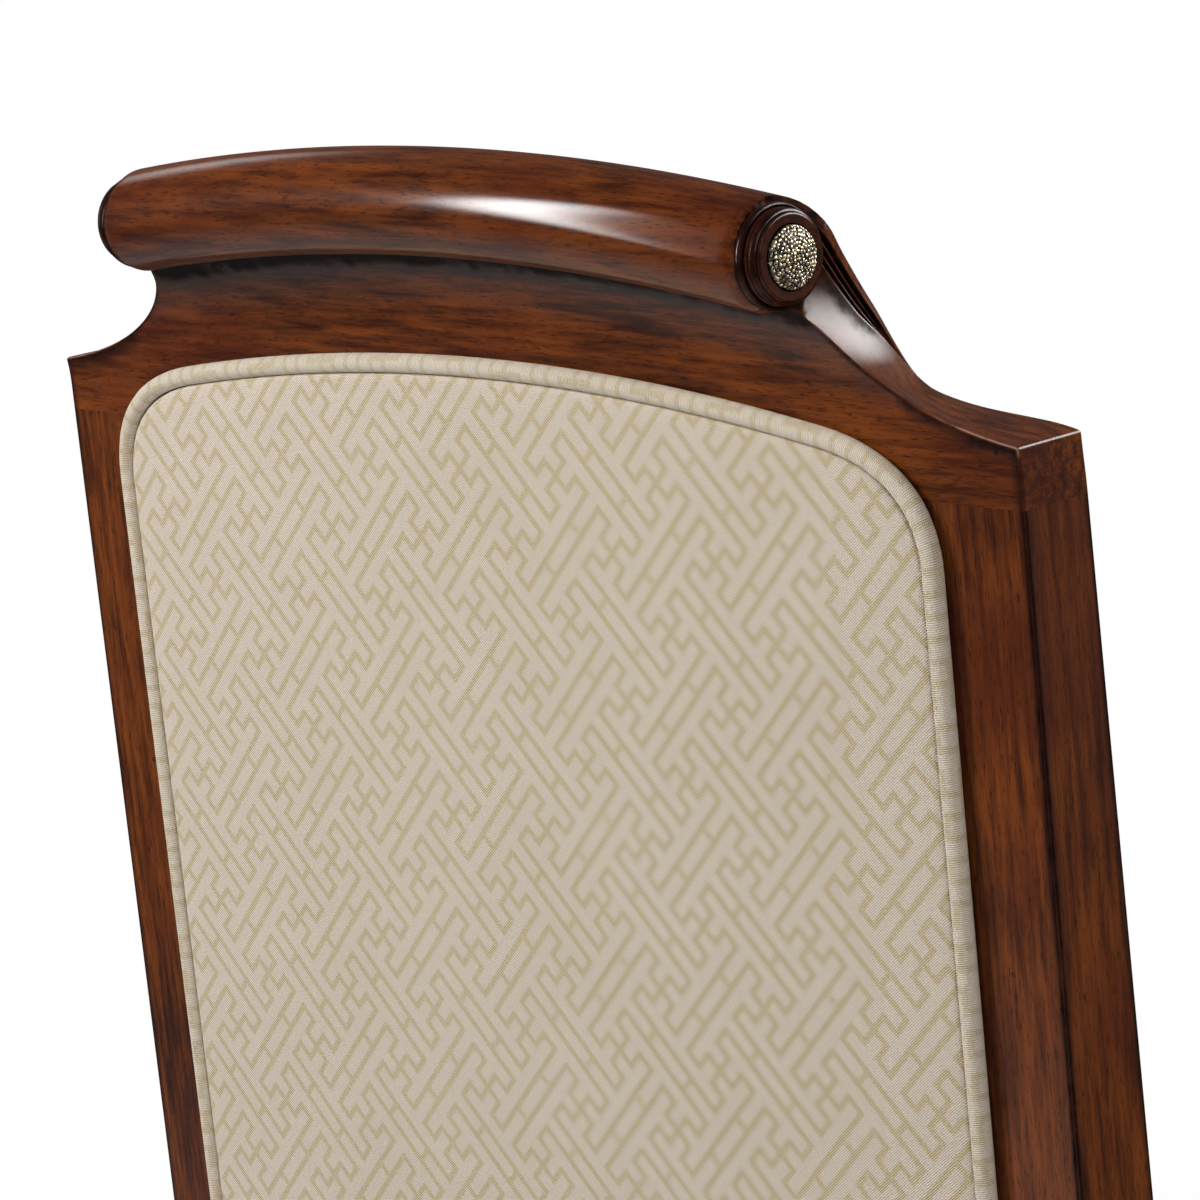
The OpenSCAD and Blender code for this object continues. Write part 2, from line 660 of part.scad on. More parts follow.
module clear_of_legs() {
    difference() {
        children();
        both() leg_blank(seat_gap);
    }
}
module seat_board() {
    color(ply) centred() difference() {
        clear_of_legs() translate([0, 0, rail_top]) linear_extrude(seat_board_t)
            polygon(seat_plan(welt_d + 3 * soft_gap));
        both() for (c = [front_corner, back_corner]) seat_screw_at(c, screw_r + fit, 0);
    }
}
module seat_foam() {
    color(foam) centred() clear_of_legs()
        crowned(seat_plan(cover_t + soft_gap), seat_mid,
                cushion_rings(seat_base, seat_side - cover_t - soft_gap, seat_crown));
}
module seat_cover() {
    color(cloth) centred() clear_of_legs() difference() {
        crowned(seat_plan(0), seat_mid,
                cushion_rings(cover_base, seat_base - cover_base + seat_side, seat_crown));
        translate([0, 0, -cover_t])
            crowned(seat_plan(cover_t), seat_mid,
                    cushion_rings(cover_base, seat_base - cover_base + seat_side, seat_crown));
    }
}
welt_end_y = side_back_y - seat_gap;
module seat_welt() {
    half = [for (p = seat_half(welt_r)) if (p[1] < welt_end_y - 2) p];
    path = concat([[side_x(welt_end_y) - seat_inset + rail_set - welt_r, welt_end_y]],
                  [for (i = [len(half) - 1:-1:0]) half[i]],
                  [for (i = [1:len(half) - 1]) [-half[i][0], half[i][1]]],
                  [[-side_x(welt_end_y) + seat_inset - rail_set + welt_r, welt_end_y]]);
    color(cloth) centred() translate([0, 0, rail_top + soft_gap + welt_r]) welt_tube(path, welt_r, false);
}

dust_t = 0.8;
dust_in = 10;
dust_clear = 1;
dust_back_y = back_rail_y[1] - dust_in;
module dust_cover() {
    half = [[side_x(front_y) - dust_in, front_y + dust_in], [side_x(dust_back_y) - dust_in, dust_back_y]];
    color(black_cloth) centred() difference() {
        translate([0, 0, rail_bottom - dust_t]) linear_extrude(dust_t) polygon(concat(half, flip_x(half)));
        both() {
            leg_blank(dust_clear);
            translate([front_w / 2 - block_w - dust_clear, front_y, 0])
                cube([block_w + 2 * dust_clear, block_w + dust_clear, rail_top]);
        }
    }
}

crest_rail();
rosette_left();
rosette_right();
crest_dowels();
back_leg_left();
back_leg_right();
lower_back_rail();
lower_rail_dowels();
outside_back_board();
outside_back_wadding();
outside_back_cover();
outside_back_welt();
inside_back_board();
inside_back_screws();
inside_back_foam();
inside_back_cover();
inside_back_welt();
front_leg_left();
front_leg_right();
front_seat_rail();
back_seat_rail();
side_seat_rail_left();
side_seat_rail_right();
corner_block_front_left();
corner_block_front_right();
corner_block_back_left();
corner_block_back_right();
corner_block_screws();
seat_board();
seat_board_screws();
seat_foam();
seat_cover();
seat_welt();
dust_cover();
glides();
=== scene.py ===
"""Dresses the side chair round its CAD frame: crest rail, upholstery, legs, finishes, light and camera.

Sizes are in millimetres, as a maker would note them, and meshes are made in metres. The back has its
own plane: x across, w out of its rear face, v up along it, with v = 0 at the tips of the ears.
"""
import json
import logging
import math
from dataclasses import dataclass
from enum import Enum
from typing import Callable, Dict, List, Sequence, Tuple, Union

import bpy
from mathutils import Matrix, Vector

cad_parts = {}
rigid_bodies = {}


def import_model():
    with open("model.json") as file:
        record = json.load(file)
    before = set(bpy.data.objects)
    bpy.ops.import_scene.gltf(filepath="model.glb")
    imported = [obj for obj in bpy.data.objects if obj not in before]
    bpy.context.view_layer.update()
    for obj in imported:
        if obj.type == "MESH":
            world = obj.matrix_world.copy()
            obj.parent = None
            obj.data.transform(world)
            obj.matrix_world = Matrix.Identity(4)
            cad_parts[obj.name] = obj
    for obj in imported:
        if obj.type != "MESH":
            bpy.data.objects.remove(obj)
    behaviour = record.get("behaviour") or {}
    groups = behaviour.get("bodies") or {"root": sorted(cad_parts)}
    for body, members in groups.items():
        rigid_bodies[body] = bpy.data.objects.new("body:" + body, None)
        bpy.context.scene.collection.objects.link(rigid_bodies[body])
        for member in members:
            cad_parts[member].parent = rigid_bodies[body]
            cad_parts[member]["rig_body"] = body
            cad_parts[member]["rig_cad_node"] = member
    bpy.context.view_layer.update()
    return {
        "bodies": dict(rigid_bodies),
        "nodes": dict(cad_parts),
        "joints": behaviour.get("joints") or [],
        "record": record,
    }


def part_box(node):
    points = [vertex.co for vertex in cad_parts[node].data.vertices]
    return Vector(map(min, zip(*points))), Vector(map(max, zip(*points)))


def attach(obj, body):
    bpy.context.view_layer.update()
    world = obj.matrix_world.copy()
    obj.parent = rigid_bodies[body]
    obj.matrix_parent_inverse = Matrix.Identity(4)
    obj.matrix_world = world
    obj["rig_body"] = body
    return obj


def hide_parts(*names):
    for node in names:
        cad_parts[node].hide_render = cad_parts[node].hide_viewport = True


MM = 0.001
RAKE = math.radians(8.0)
BODY = "root"
CLOTH_UV = "cloth"

Colour = Tuple[float, float, float]
Point = Tuple[float, float]
Value = Union["Wire", float, Sequence[float]]
Values = Dict[Union[int, str], Value]
Place = Callable[[float, float, float], Vector]
Depth = Callable[[float, float], float]
Piece = bpy.types.Object
Finish = bpy.types.Material

log = logging.getLogger("side_chair")


class Grain(Enum):
    """The axis of a piece that its wood grain follows."""

    ACROSS = 0
    FORE_AND_AFT = 1
    UPRIGHT = 2


class Side(Enum):
    """A side of the chair, as the sign of its X."""

    LEFT = -1
    RIGHT = 1

    @property
    def word(self) -> str:
        """The side's name as the nodes have it."""
        return self.name.lower()


def srgb(red: int, green: int, blue: int) -> Colour:
    """Turns a colour of 0 to 255 as seen into the linear values that a shader takes.

    Args:
        red: the red part.
        green: the green part.
        blue: the blue part.

    Returns:
        The linear colour.
    """
    parts = [part / 255 for part in (red, green, blue)]
    return tuple(p / 12.92 if p <= 0.04045 else ((p + 0.055) / 1.055) ** 2.4 for p in parts)


def bend(start: Vector, pull: Vector, end: Vector, steps: int) -> List[Vector]:
    """Points on a curve with one control point.

    Args:
        start: the first point.
        pull: the control point.
        end: the last point.
        steps: how many steps the curve has.

    Returns:
        The points, both ends among them.
    """
    ts = [i / steps for i in range(steps + 1)]
    return [(1 - t) ** 2 * start + 2 * t * (1 - t) * pull + t * t * end for t in ts]


def smooth(low: float, high: float, value: float) -> float:
    """A soft step from 0 at low to 1 at high."""
    t = min(max((value - low) / (high - low), 0.0), 1.0)
    return t * t * (3 - 2 * t)


def through(points: Sequence[Point], steps: int) -> List[Point]:
    """Points at even steps along a smooth curve through the given ones.

    Args:
        points: the points that the curve passes.
        steps: how many steps the curve has.

    Returns:
        The points on the curve, both ends among them.
    """
    dense: List[Point] = []
    ends = [points[0]] + list(points) + [points[-1]]
    for a, b, c, d in zip(ends, ends[1:], ends[2:], ends[3:]):
        for k in range(20):
            t = k / 20
            dense.append(tuple(
                0.5 * (2 * q + (r - p) * t + (2 * p - 5 * q + 4 * r - s) * t * t
                       + (3 * q - p - 3 * r + s) * t ** 3)
                for p, q, r, s in zip(a, b, c, d)))
    dense.append(tuple(points[-1]))
    return even(dense, steps)


def lengths_along(points: Sequence[Sequence[float]]) -> List[float]:
    """How far along a polyline each of its points is.

    Args:
        points: the polyline.

    Returns:
        The lengths from its first point, which has 0.
    """
    marks = [0.0]
    for a, b in zip(points, points[1:]):
        marks.append(marks[-1] + math.dist(a, b))
    return marks


def even(points: Sequence[Sequence[float]], steps: int) -> List[Point]:
    """Points at even steps along a polyline.

    Args:
        points: the polyline.
        steps: how many steps the result has.

    Returns:
        The points, both ends among them.
    """
    marks = lengths_along(points)
    result, i = [], 0
    for k in range(steps + 1):
        goal = marks[-1] * k / steps
        while i < len(points) - 2 and marks[i + 1] < goal:
            i += 1
        span = marks[i + 1] - marks[i]
        t = (goal - marks[i]) / span if span else 0.0
        result.append(tuple(a + (b - a) * t for a, b in zip(points[i], points[i + 1])))
    return result


def mirrored(right: List[Vector], step: float) -> List[Point]:
    """A closed outline at even steps, from its right half.

    Args:
        right: the right half's points, from one middle to the other.
        step: about how far the outline's points are apart.

    Returns:
        The outline, with its last point on its first.
    """
    points = right + [Vector((-p.x, p.y)) for p in reversed(right[1:-1])] + [right[0]]
    return even(points, round(lengths_along(points)[-1] / step))


def sideways(points: Sequence[Point], closed: bool) -> List[Vector]:
    """The direction to the right of a line's run at each of its points.

    Args:
        points: the line's points; a closed line's last point is its first.
        closed: True for a closed line.

    Returns:
        The directions.
    """
    last = len(points) - 1
    ways = []
    for i in range(last + 1):
        before, after = ((i - 1) % last, (i + 1) % last) if closed else (max(i - 1, 0), min(i + 1, last))
        run = (Vector(points[after]) - Vector(points[before])).normalized()
        ways.append(Vector((run.y, -run.x)))
    return ways


ROUNDING = [((1 - t) ** 2, t ** 2) for t in (0.0, 0.25, 0.5, 0.75, 1.0)]


def rounded(first: Vector, arris: Vector, second: Vector) -> List[Vector]:
    """Points round an arris, from where the rounding leaves one face to where it meets the other."""
    return [first * a + second * b + arris * (1 - a - b) for a, b in ROUNDING]


# Mesh helpers


def deselect() -> None:
    """Leaves edit mode and selects nothing."""
    if bpy.context.object and bpy.context.object.mode != "OBJECT":
        bpy.ops.object.mode_set(mode="OBJECT")
    bpy.ops.object.select_all(action="DESELECT")


def pick(piece: Piece) -> None:
    """Makes a piece the only selected object.

    Args:
        piece: the piece.
    """
    deselect()
    piece.select_set(True)
    bpy.context.view_layer.objects.active = piece


def sheet(name: str, rows: int, columns: int, place: Callable[[int, int], Vector]) -> Piece:
    """Adds a grid primitive and moves each of its points to its place.

    Args:
        name: the piece's name.
        rows: how many rows of points it has.
        columns: how many points a row has.
        place: gives a point's place, in metres, from its row and column.

    Returns:
        The piece.
    """
    deselect()
    bpy.ops.mesh.primitive_grid_add(x_subdivisions=columns - 1, y_subdivisions=rows - 1, size=1.0)
    piece = bpy.context.object
    piece.name = piece.data.name = name
    for index, vertex in enumerate(piece.data.vertices):
        vertex.co = place(index // columns, index % columns)
    return piece


def stain(piece: Piece, values: Sequence[float]) -> Piece:
    """Marks each point from 1, dark with gathered stain and painted shade, down to -1, pale with wear and
    painted highlight.
    """
    return mark_points(piece, "stain", values)


def mark_points(piece: Piece, name: str, values: Sequence[float]) -> Piece:
    """Gives a piece an attribute with a number for each of its points."""
    piece.data.attributes.new(name, "FLOAT", "POINT").data.foreach_set("value", values)
    return piece


def weld(pieces: Sequence[Piece], gap: float = 0.00002, fill: bool = False) -> Piece:
    """Joins pieces into the first, merges their doubles and turns the faces outwards.

    Args:
        pieces: the pieces to join.
        gap: points closer than this become one.
        fill: True where open edges are to be closed with faces.

    Returns:
        The first piece.
    """
    deselect()
    for piece in pieces:
        piece.select_set(True)
    bpy.context.view_layer.objects.active = pieces[0]
    if len(pieces) > 1:
        bpy.ops.object.join()
    bpy.ops.object.mode_set(mode="EDIT")
    bpy.ops.mesh.select_all(action="SELECT")
    bpy.ops.mesh.remove_doubles(threshold=gap)
    bpy.ops.mesh.dissolve_degenerate(threshold=gap / 2)
    if fill:
        bpy.ops.mesh.select_all(action="SELECT")
        bpy.ops.mesh.fill_holes(sides=0)
    bpy.ops.mesh.select_all(action="SELECT")
    bpy.ops.mesh.normals_make_consistent(inside=False)
    bpy.ops.object.mode_set(mode="OBJECT")
    return pieces[0]


def ease(piece: Piece, wanted: Callable[[Vector, Vector, float], bool], radius: float,
         segments: int = 3) -> None:
    """Rounds the arrises that are wanted.

    Args:
        piece: the piece.
        wanted: tells from an edge's two ends and its angle whether it is rounded.
        radius: how far the rounding reaches, in metres.
        segments: how many faces the rounding has.
    """
    pick(piece)
    bpy.ops.object.mode_set(mode="EDIT")
    bpy.ops.mesh.select_mode(type="EDGE")
    bpy.ops.mesh.select_all(action="DESELECT")
    bpy.ops.object.mode_set(mode="OBJECT")
    mesh = piece.data
    normals: Dict[Tuple[int, int], List[Vector]] = {}
    for face in mesh.polygons:
        for key in face.edge_keys:
            normals.setdefault(key, []).append(face.normal.copy())
    for edge in mesh.edges:
        sides = normals.get(edge.key, [])
        angle = sides[0].angle(sides[1], 0.0) if len(sides) == 2 else 0.0
        ends = [mesh.vertices[i].co.copy() for i in edge.vertices]
        edge.select = wanted(ends[0], ends[1], math.degrees(angle))
    bpy.ops.object.mode_set(mode="EDIT")
    bpy.ops.mesh.bevel(offset=radius, segments=segments, profile=0.5, clamp_overlap=True)
    bpy.ops.object.mode_set(mode="OBJECT")


def shade(piece: Piece, degrees: float, weighted: bool = False) -> None:
    """Shades a piece smooth up to an angle between its faces.

    Args:
        piece: the piece.
        degrees: the angle, above which an edge stays sharp.
        weighted: True where large faces stay flat and the small ones of an arris turn between them.
    """
    pick(piece)
    bpy.ops.object.shade_smooth_by_angle(angle=math.radians(degrees))
    if weighted:
        flat = piece.modifiers.new("flat", "WEIGHTED_NORMAL")
        flat.keep_sharp = True
        flat.weight = 100
        bpy.ops.object.modifier_apply(modifier=flat.name)


def finish_piece(piece: Piece, material: Finish, slot: str, *nodes: str) -> None:
    """Gives a piece its finish and its body, and hides the CAD nodes that it stands for.

    Args:
        piece: the piece.
        material: its finish.
        slot: the record's material slot; not used.
        nodes: the CAD nodes that it replaces.
    """
    piece.data.materials.clear()
    piece.data.materials.append(material)
    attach(piece, BODY)
    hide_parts(*nodes)
    log.info("%s: %d faces, for %s", piece.name, len(piece.data.polygons), ", ".join(nodes))


def lay_cloth(piece: Piece, place: Callable[[int, Vector, Vector], Point]) -> None:
    """Gives a piece the UV map that its cloth follows, in metres of cloth.

    Args:
        piece: the piece.
        place: gives a corner's place on the cloth from its point's number, its place and its face's normal.
    """
    layer = piece.data.uv_layers.new(name=CLOTH_UV)
    for face in piece.data.polygons:
        for loop in face.loop_indices:
            vertex = piece.data.loops[loop].vertex_index
            layer.data[loop].uv = place(vertex, piece.data.vertices[vertex].co, face.normal)


# Shader helpers


def operation(kind: str, swapped: bool = False) -> Callable[["Wire", Value], "Wire"]:
    """Makes a method of Wire that joins it with a value in a Math node.

    Args:
        kind: the node's operation.
        swapped: True where the value comes first.

    Returns:
        The method.
    """

    def method(self: "Wire", other: Value) -> "Wire":
        """The node's result."""
        return self.maths(kind, *((other, self) if swapped else (self, other)))

    return method


class Wire:
    """A node's output that takes part in Python arithmetic."""

    __add__ = __radd__ = operation("ADD")
    __sub__ = operation("SUBTRACT")
    __rsub__ = operation("SUBTRACT", swapped=True)
    __mul__ = __rmul__ = operation("MULTIPLY")
    __truediv__ = operation("DIVIDE")
    __mod__ = operation("FLOORED_MODULO")
    __lt__ = operation("LESS_THAN")
    least = operation("MINIMUM")
    most = operation("MAXIMUM")

    def __init__(self, tree: "Tree", socket: bpy.types.NodeSocket) -> None:
        """Keeps the tree and the socket."""
        self.tree = tree
        self.socket = socket

    def maths(self, kind: str, *values: Value) -> "Wire":
        """Adds a Math node of that kind on the values."""
        return self.tree.node("Math", {"operation": kind}, dict(enumerate(values)))

    def __abs__(self) -> "Wire":
        """self without its sign."""
        return self.maths("ABSOLUTE", self)

    def floor(self) -> "Wire":
        """The whole number below self."""
        return self.maths("FLOOR", self)

    def sine(self) -> "Wire":
        """The sine of self."""
        return self.maths("SINE", self)

    def near(self, goal: float, gap: float) -> "Wire":
        """1 where self is within a gap of a goal, else 0."""
        return self.maths("COMPARE", self, goal, gap)

    def step(self, low: float, high: float) -> "Wire":
        """A soft step from 0 at low to 1 at high, or from 1 to 0 where low is the larger.

        Args:
            low: the value that gives 0.
            high: the value that gives 1.

        Returns:
            The step's value.
        """
        settings = {"interpolation_type": "SMOOTHSTEP"}
        if low < high:
            return self.tree.node("MapRange", settings, {0: self, 1: low, 2: high, 3: 0.0, 4: 1.0})
        return self.tree.node("MapRange", settings, {0: self, 1: high, 2: low, 3: 1.0, 4: 0.0})


class Tree:
    """The node tree of a material, a light or the world."""

    def __init__(self, tree: bpy.types.NodeTree) -> None:
        """Keeps the tree."""
        self.tree = tree

    def node(self, kind: str, settings: Dict[str, object], values: Values,
             output: Union[int, str] = 0) -> Wire:
        """Adds a node.

        Args:
            kind: the node's type, without its ShaderNode prefix.
            settings: what is set on the node first.
            values: the values or links of its sockets, by number or name.
            output: the output that is wanted.

        Returns:
            The output.
        """
        node = self.tree.nodes.new("ShaderNode" + kind)
        for key, setting in settings.items():
            setattr(node, key, setting)
        self.plug(node, values)
        return Wire(self, node.outputs[output])

    def plug(self, node: bpy.types.Node, values: Values) -> None:
        """Sets or links a node's sockets.

        Args:
            node: the node.
            values: the values or links, by the socket's number or name.
        """
        for key, value in values.items():
            socket = node.inputs[key]
            if isinstance(value, Wire):
                self.tree.links.new(value.socket, socket)
            elif isinstance(value, (int, float)):
                socket.default_value = value
            elif len(value) == 3 and len(socket.default_value) == 4:
                socket.default_value = (*value, 1.0)
            else:
                socket.default_value = value

    def parts(self, vector: Wire) -> List[Wire]:
        """Splits a vector into its three numbers."""
        return self.outputs("SeparateXYZ", {0: vector}, 0, 1, 2)

    def outputs(self, kind: str, values: Values, *names: Union[int, str]) -> List[Wire]:
        """Adds a node and gives several of its outputs.

        Args:
            kind: the node's type, without its ShaderNode prefix.
            values: the values or links of its sockets.
            names: the outputs that are wanted, by number or name.

        Returns:
            The outputs.
        """
        node = self.node(kind, {}, values).socket.node
        return [Wire(self, node.outputs[name]) for name in names]

    @staticmethod
    def emptied(owner: Union[bpy.types.Light, bpy.types.World]) -> "Tree":
        """Gives a light or the world an empty node tree.

        Args:
            owner: the light's data or the world.

        Returns:
            The tree.
        """
        owner.use_nodes = True
        owner.node_tree.nodes.clear()
        return Tree(owner.node_tree)


class Shading(Tree):
    """One material's node tree, round a Principled shader."""

    def __init__(self, name: str) -> None:
        """Makes the material, with a Principled shader on its output.

        Args:
            name: the material's name.
        """
        self.material = bpy.data.materials.new(name)
        self.material.use_nodes = True
        super().__init__(self.material.node_tree)
        self.shader = self.tree.nodes["Principled BSDF"]
        self.output = self.tree.nodes["Material Output"]

    def blend(self, factor: Value, first: Value, second: Value) -> Wire:
        """Mixes two colours.

        Args:
            factor: how much of the second shows.
            first: the first colour.
            second: the second colour.

        Returns:
            The mixed colour.
        """
        settings = {"data_type": "RGBA", "clamp_factor": True}
        return self.node("Mix", settings, {0: factor, 6: first, 7: second}, 2)

    def place(self, scale: Sequence[float] = (1, 1, 1), turn: float = 0.0,
              shift: Sequence[float] = (0, 0, 0)) -> Wire:
        """The object's coordinates, turned about X and scaled.

        Args:
            scale: the scale along each axis, after the turn.
            turn: the turn about X, in radians.
            shift: what is added before the scale.

        Returns:
            The coordinates.
        """
        vector = self.node("TexCoord", {}, {}, "Object")
        vector = self.node("Mapping", {}, {"Vector": vector, "Rotation": (turn, 0.0, 0.0), "Location": shift})
        return self.node("Mapping", {}, {"Vector": vector, "Scale": scale})

    def noise(self, vector: Value, scale: float, detail: float, rough: float = 0.55) -> Wire:
        """Noise from 0 to 1 at a place."""
        values = {"Vector": vector, "Scale": scale, "Detail": detail, "Roughness": rough}
        return self.node("TexNoise", {}, values)

    def bump(self, height: Value, depth: float, strength: float) -> Wire:
        """A bumped normal from a height that varies by 1 over a depth in metres."""
        return self.node("Bump", {}, {"Height": height, "Distance": depth, "Strength": strength}, "Normal")

    def dress(self, **values: Value) -> Finish:
        """Sets the Principled shader's sockets, whose names have _ for each space, and gives the material."""
        self.plug(self.shader, {key.replace("_", " "): value for key, value in values.items()})
        return self.material


@dataclass(frozen=True)
class Mahogany:
    """Stained and lacquered mahogany, with pores, figure, dark arrises and a few distress marks, and the
    painted shade and painted highlights of a piece's marks.
    """

    name: str
    grain: Grain
    turn: float = 0.0
    dark: Colour = srgb(52, 22, 11)
    light: Colour = srgb(122, 62, 22)
    red: Colour = srgb(84, 33, 17)
    pore: Colour = srgb(22, 9, 6)
    # Near-black for gathered stain and painted shade.
    soot: Colour = srgb(12, 7, 8)
    # Pale tone for wear and for painted highlight lines.
    worn: Colour = srgb(190, 160, 146)
    gloss: float = 0.36

    def make(self) -> Finish:
        """Builds the material, on the object's coordinates and the piece's marks of stain, painted shade and
        painted highlight.

        Returns:
            The material.
        """
        s = Shading(self.name)

        def stretched(along: float, across: float) -> Wire:
            """Coordinates that are long along the grain.

            Args:
                along: the scale along the grain.
                across: the scale across it.

            Returns:
                The coordinates.
            """
            scale = [across] * 3
            scale[self.grain.value] = along
            return s.place(scale, self.turn)

        figure = s.noise(stretched(9.0, 24.0), 1.0, 3.0, 0.6)
        streak = s.noise(stretched(24.0, 300.0), 1.0, 4.0, 0.62)
        fleck = s.noise(stretched(190.0, 1300.0), 1.0, 3.0, 0.65)
        cloud = s.noise(s.place((13.0, 13.0, 13.0), self.turn), 1.0, 3.0, 0.6)
        tone = (figure * 0.4 + streak * 0.6).step(0.36, 0.64)
        colour = s.blend(tone, self.dark, self.light)
        colour = s.blend(cloud.step(0.42, 0.66) * 0.5, colour, self.red)
        pores = fleck.step(0.54, 0.66)
        colour = s.blend(pores * 0.6, colour, self.pore)
        spots = s.node("TexVoronoi", {}, {"Vector": s.place(shift=(0.011, 0.0, 0.007)), "Scale": 34.0})
        among = s.noise(s.place((21.0, 21.0, 21.0)), 1.0, 0.0).step(0.50, 0.56)
        specks = spots.step(0.045, 0.025) * among
        colour = s.blend(specks * 0.8, colour, self.pore)
        # Positive marks darken the wood towards near-black: stain along arrises, and painted shade under the
        # roll, in grooves and over parts of the cove; the coat thins where they are darkest.
        mark = s.node("Attribute", {"attribute_name": "stain"}, {}, "Fac")
        patchy = s.noise(s.place((160.0, 160.0, 160.0)), 1.0, 3.0)
        stain_and_shade = mark.most(0.0) * (patchy * 0.7 + 0.65)
        colour = s.blend(stain_and_shade.least(0.98), colour, self.soot)
        # Negative marks lighten the wood to the pale tone: wear round the ear's tip, and painted highlight
        # lines on the reeds' crests and on the arris between hollow and cove.
        wear_and_glint_mask = (mark * -1.0).most(0.0) * patchy.step(0.40, 0.58)
        colour = s.blend(wear_and_glint_mask * 0.7, colour, self.worn)
        rough = s.noise(stretched(14.0, 40.0), 1.0, 3.0) * 0.10 + (self.gloss - 0.05) + pores * 0.10
        normal = s.bump(1 - pores * 0.7 - streak * 0.3, 0.00004, 0.4)
        return s.dress(Base_Color=colour, Roughness=rough, Normal=normal, Specular_IOR_Level=0.02,
                       Coat_Weight=0.42 - stain_and_shade.step(0.6, 0.95) * 0.4, Coat_Roughness=0.09, IOR=1.46)


@dataclass(frozen=True)
class KeyFret:
    """A traditional key fret woven in a slanting grid, on a fine twill ground."""

    name: str = "key_fret_cloth"
    ground: Colour = srgb(211, 196, 180)
    line: Colour = srgb(178, 155, 90)
    thread: Colour = srgb(243, 233, 220)
    shade: Colour = srgb(154, 137, 118)
    aged: Colour = srgb(188, 172, 146)
    cell: float = 7.145
    half_line: float = 0.165
    soft: float = 0.05
    turn: float = 0.026
    centre: Point = (16.4, -100.0)
    pitch: float = 0.62
    twill: float = 0.72
    strength: float = 1.0
    bias: bool = False

    @staticmethod
    def drawn(row: Wire, column: Wire) -> Wire:
        """1 where the fret has a line along a row at a column, else 0.

        Args:
            row: the row's number.
            column: the column's number.

        Returns:
            The mask.
        """
        band = row % 5.0
        place = (column + (row / 5.0).floor() * 5.0) % 10.0
        dashes = (band.near(0.0, 0.3) + band.near(3.0, 0.3)) * ((place % 2.0) < 0.5)
        longs = band.near(1.5, 0.7) * (((place - 4.0) % 10.0) < 6.5)
        pairs = band.near(4.0, 0.3) * (((place - 4.0) % 5.0) < 1.5)
        return (dashes + longs + pairs).least(1.0)

    def fret(self, u: Wire, v: Wire) -> Wire:
        """The mask of the fret's lines at a place on the cloth, in millimetres.

        Args:
            u: the place across the cloth.
            v: the place up the cloth.

        Returns:
            1 on a line and 0 off it.
        """
        cosine, sine = math.cos(self.turn), math.sin(self.turn)
        across = (u - self.centre[0]) * cosine + (v - self.centre[1]) * sine
        up = (v - self.centre[1]) * cosine - (u - self.centre[0]) * sine
        scale = 1 / (math.sqrt(2) * self.cell)
        k = (across + up) * scale + 5.0
        m = (up - across) * scale + 4.0
        row, column = (m + 0.5).floor(), (k + 0.5).floor()
        off_row, off_column = abs(m - row), abs(k - column)
        low, high = self.half_line + self.soft, self.half_line - self.soft
        level = off_row.step(low, high) * self.drawn(row, k.floor())
        plumb = off_column.step(low, high) * self.drawn(column - 1.0, m.floor() - 4.0)
        corner = off_row.most(off_column).step(low, high)
        return level.most(plumb).most(corner)

    def make(self) -> Finish:
        """Builds the material, on the piece's cloth UV map.

        Returns:
            The material.
        """
        s = Shading(self.name)
        cloth = s.node("UVMap", {"uv_map": CLOTH_UV}, {})
        u, v = (part * (1 / MM) for part in s.parts(cloth)[:2])
        wander = s.noise(cloth, 2200.0, 1.0) - 0.5
        step = self.pitch * 0.8
        stepped = [(place / step).floor() * step for place in (u + wander * 0.7, v - wander * 0.7)]
        lines = self.fret(*stepped)
        turns = 2 * math.pi / self.pitch
        weft = (v * turns + (u * (turns * 0.5)).sine() * 0.6).sine()
        slope = u * 0.8 if self.bias else u * -0.8
        twill = ((slope + v + wander * 0.3) * (2 * math.pi * 0.78 / self.twill)).sine()
        slub = s.noise(s.node("Mapping", {}, {"Vector": cloth, "Scale": (500.0, 2400.0, 1.0)}), 1.0, 3.0)
        grain = s.noise(cloth, 1700.0, 2.0)
        patch = s.noise(cloth, 11.0, 2.0)
        broken = s.noise(cloth, 800.0, 2.0)
        faded = patch.step(0.25, 0.7) * 0.15 + broken.step(0.25, 0.6) * 0.3 + 0.58
        colour = s.blend(lines * faded * self.strength, self.ground, self.line)
        lift = twill * 0.34 + weft * 0.08 + slub * 0.5 + grain * 0.5
        colour = s.blend(lift.step(0.50, 0.95) * 0.85, colour, self.thread)
        colour = s.blend(lift.step(0.50, 0.10) * 0.7, colour, self.shade)
        colour = s.blend(patch.step(0.3, 0.75) * 0.14, colour, self.aged)
        height = twill * 0.26 + weft * 0.2 + slub * 0.5 + grain * 0.3 + lines * 0.3
        normal = s.bump(height, 0.00026, 0.7)
        return s.dress(Base_Color=colour, Roughness=0.86, Normal=normal, Sheen_Weight=0.12,
                       Sheen_Roughness=0.5, Specular_IOR_Level=0.2)


@dataclass(frozen=True)
class AntiqueBrass:
    """Old brass: bright on what stands proud, nearly black in the hollows."""

    name: str = "antique_brass"
    bright: Colour = srgb(248, 230, 190)
    dull: Colour = srgb(128, 98, 52)
    dirt: Colour = srgb(20, 13, 9)

    def make(self) -> Finish:
        """Builds the material, on the piece's relief attribute.

        Returns:
            The material.
        """
        s = Shading(self.name)
        relief = s.node("Attribute", {"attribute_name": "relief"}, {}, "Fac")
        mottle = s.noise(s.place((900.0, 900.0, 900.0)), 1.0, 3.0)
        worn = (relief + (mottle - 0.5) * 1.6).step(0.25, 0.75)
        colour = s.blend(worn, self.dirt, s.blend(mottle.step(0.35, 0.65), self.dull, self.bright))
        return s.dress(Base_Color=colour, Metallic=worn * 0.4 + 0.2, Roughness=mottle * 0.15 + 0.16,
                       Normal=s.bump(mottle, 0.00012, 0.6))


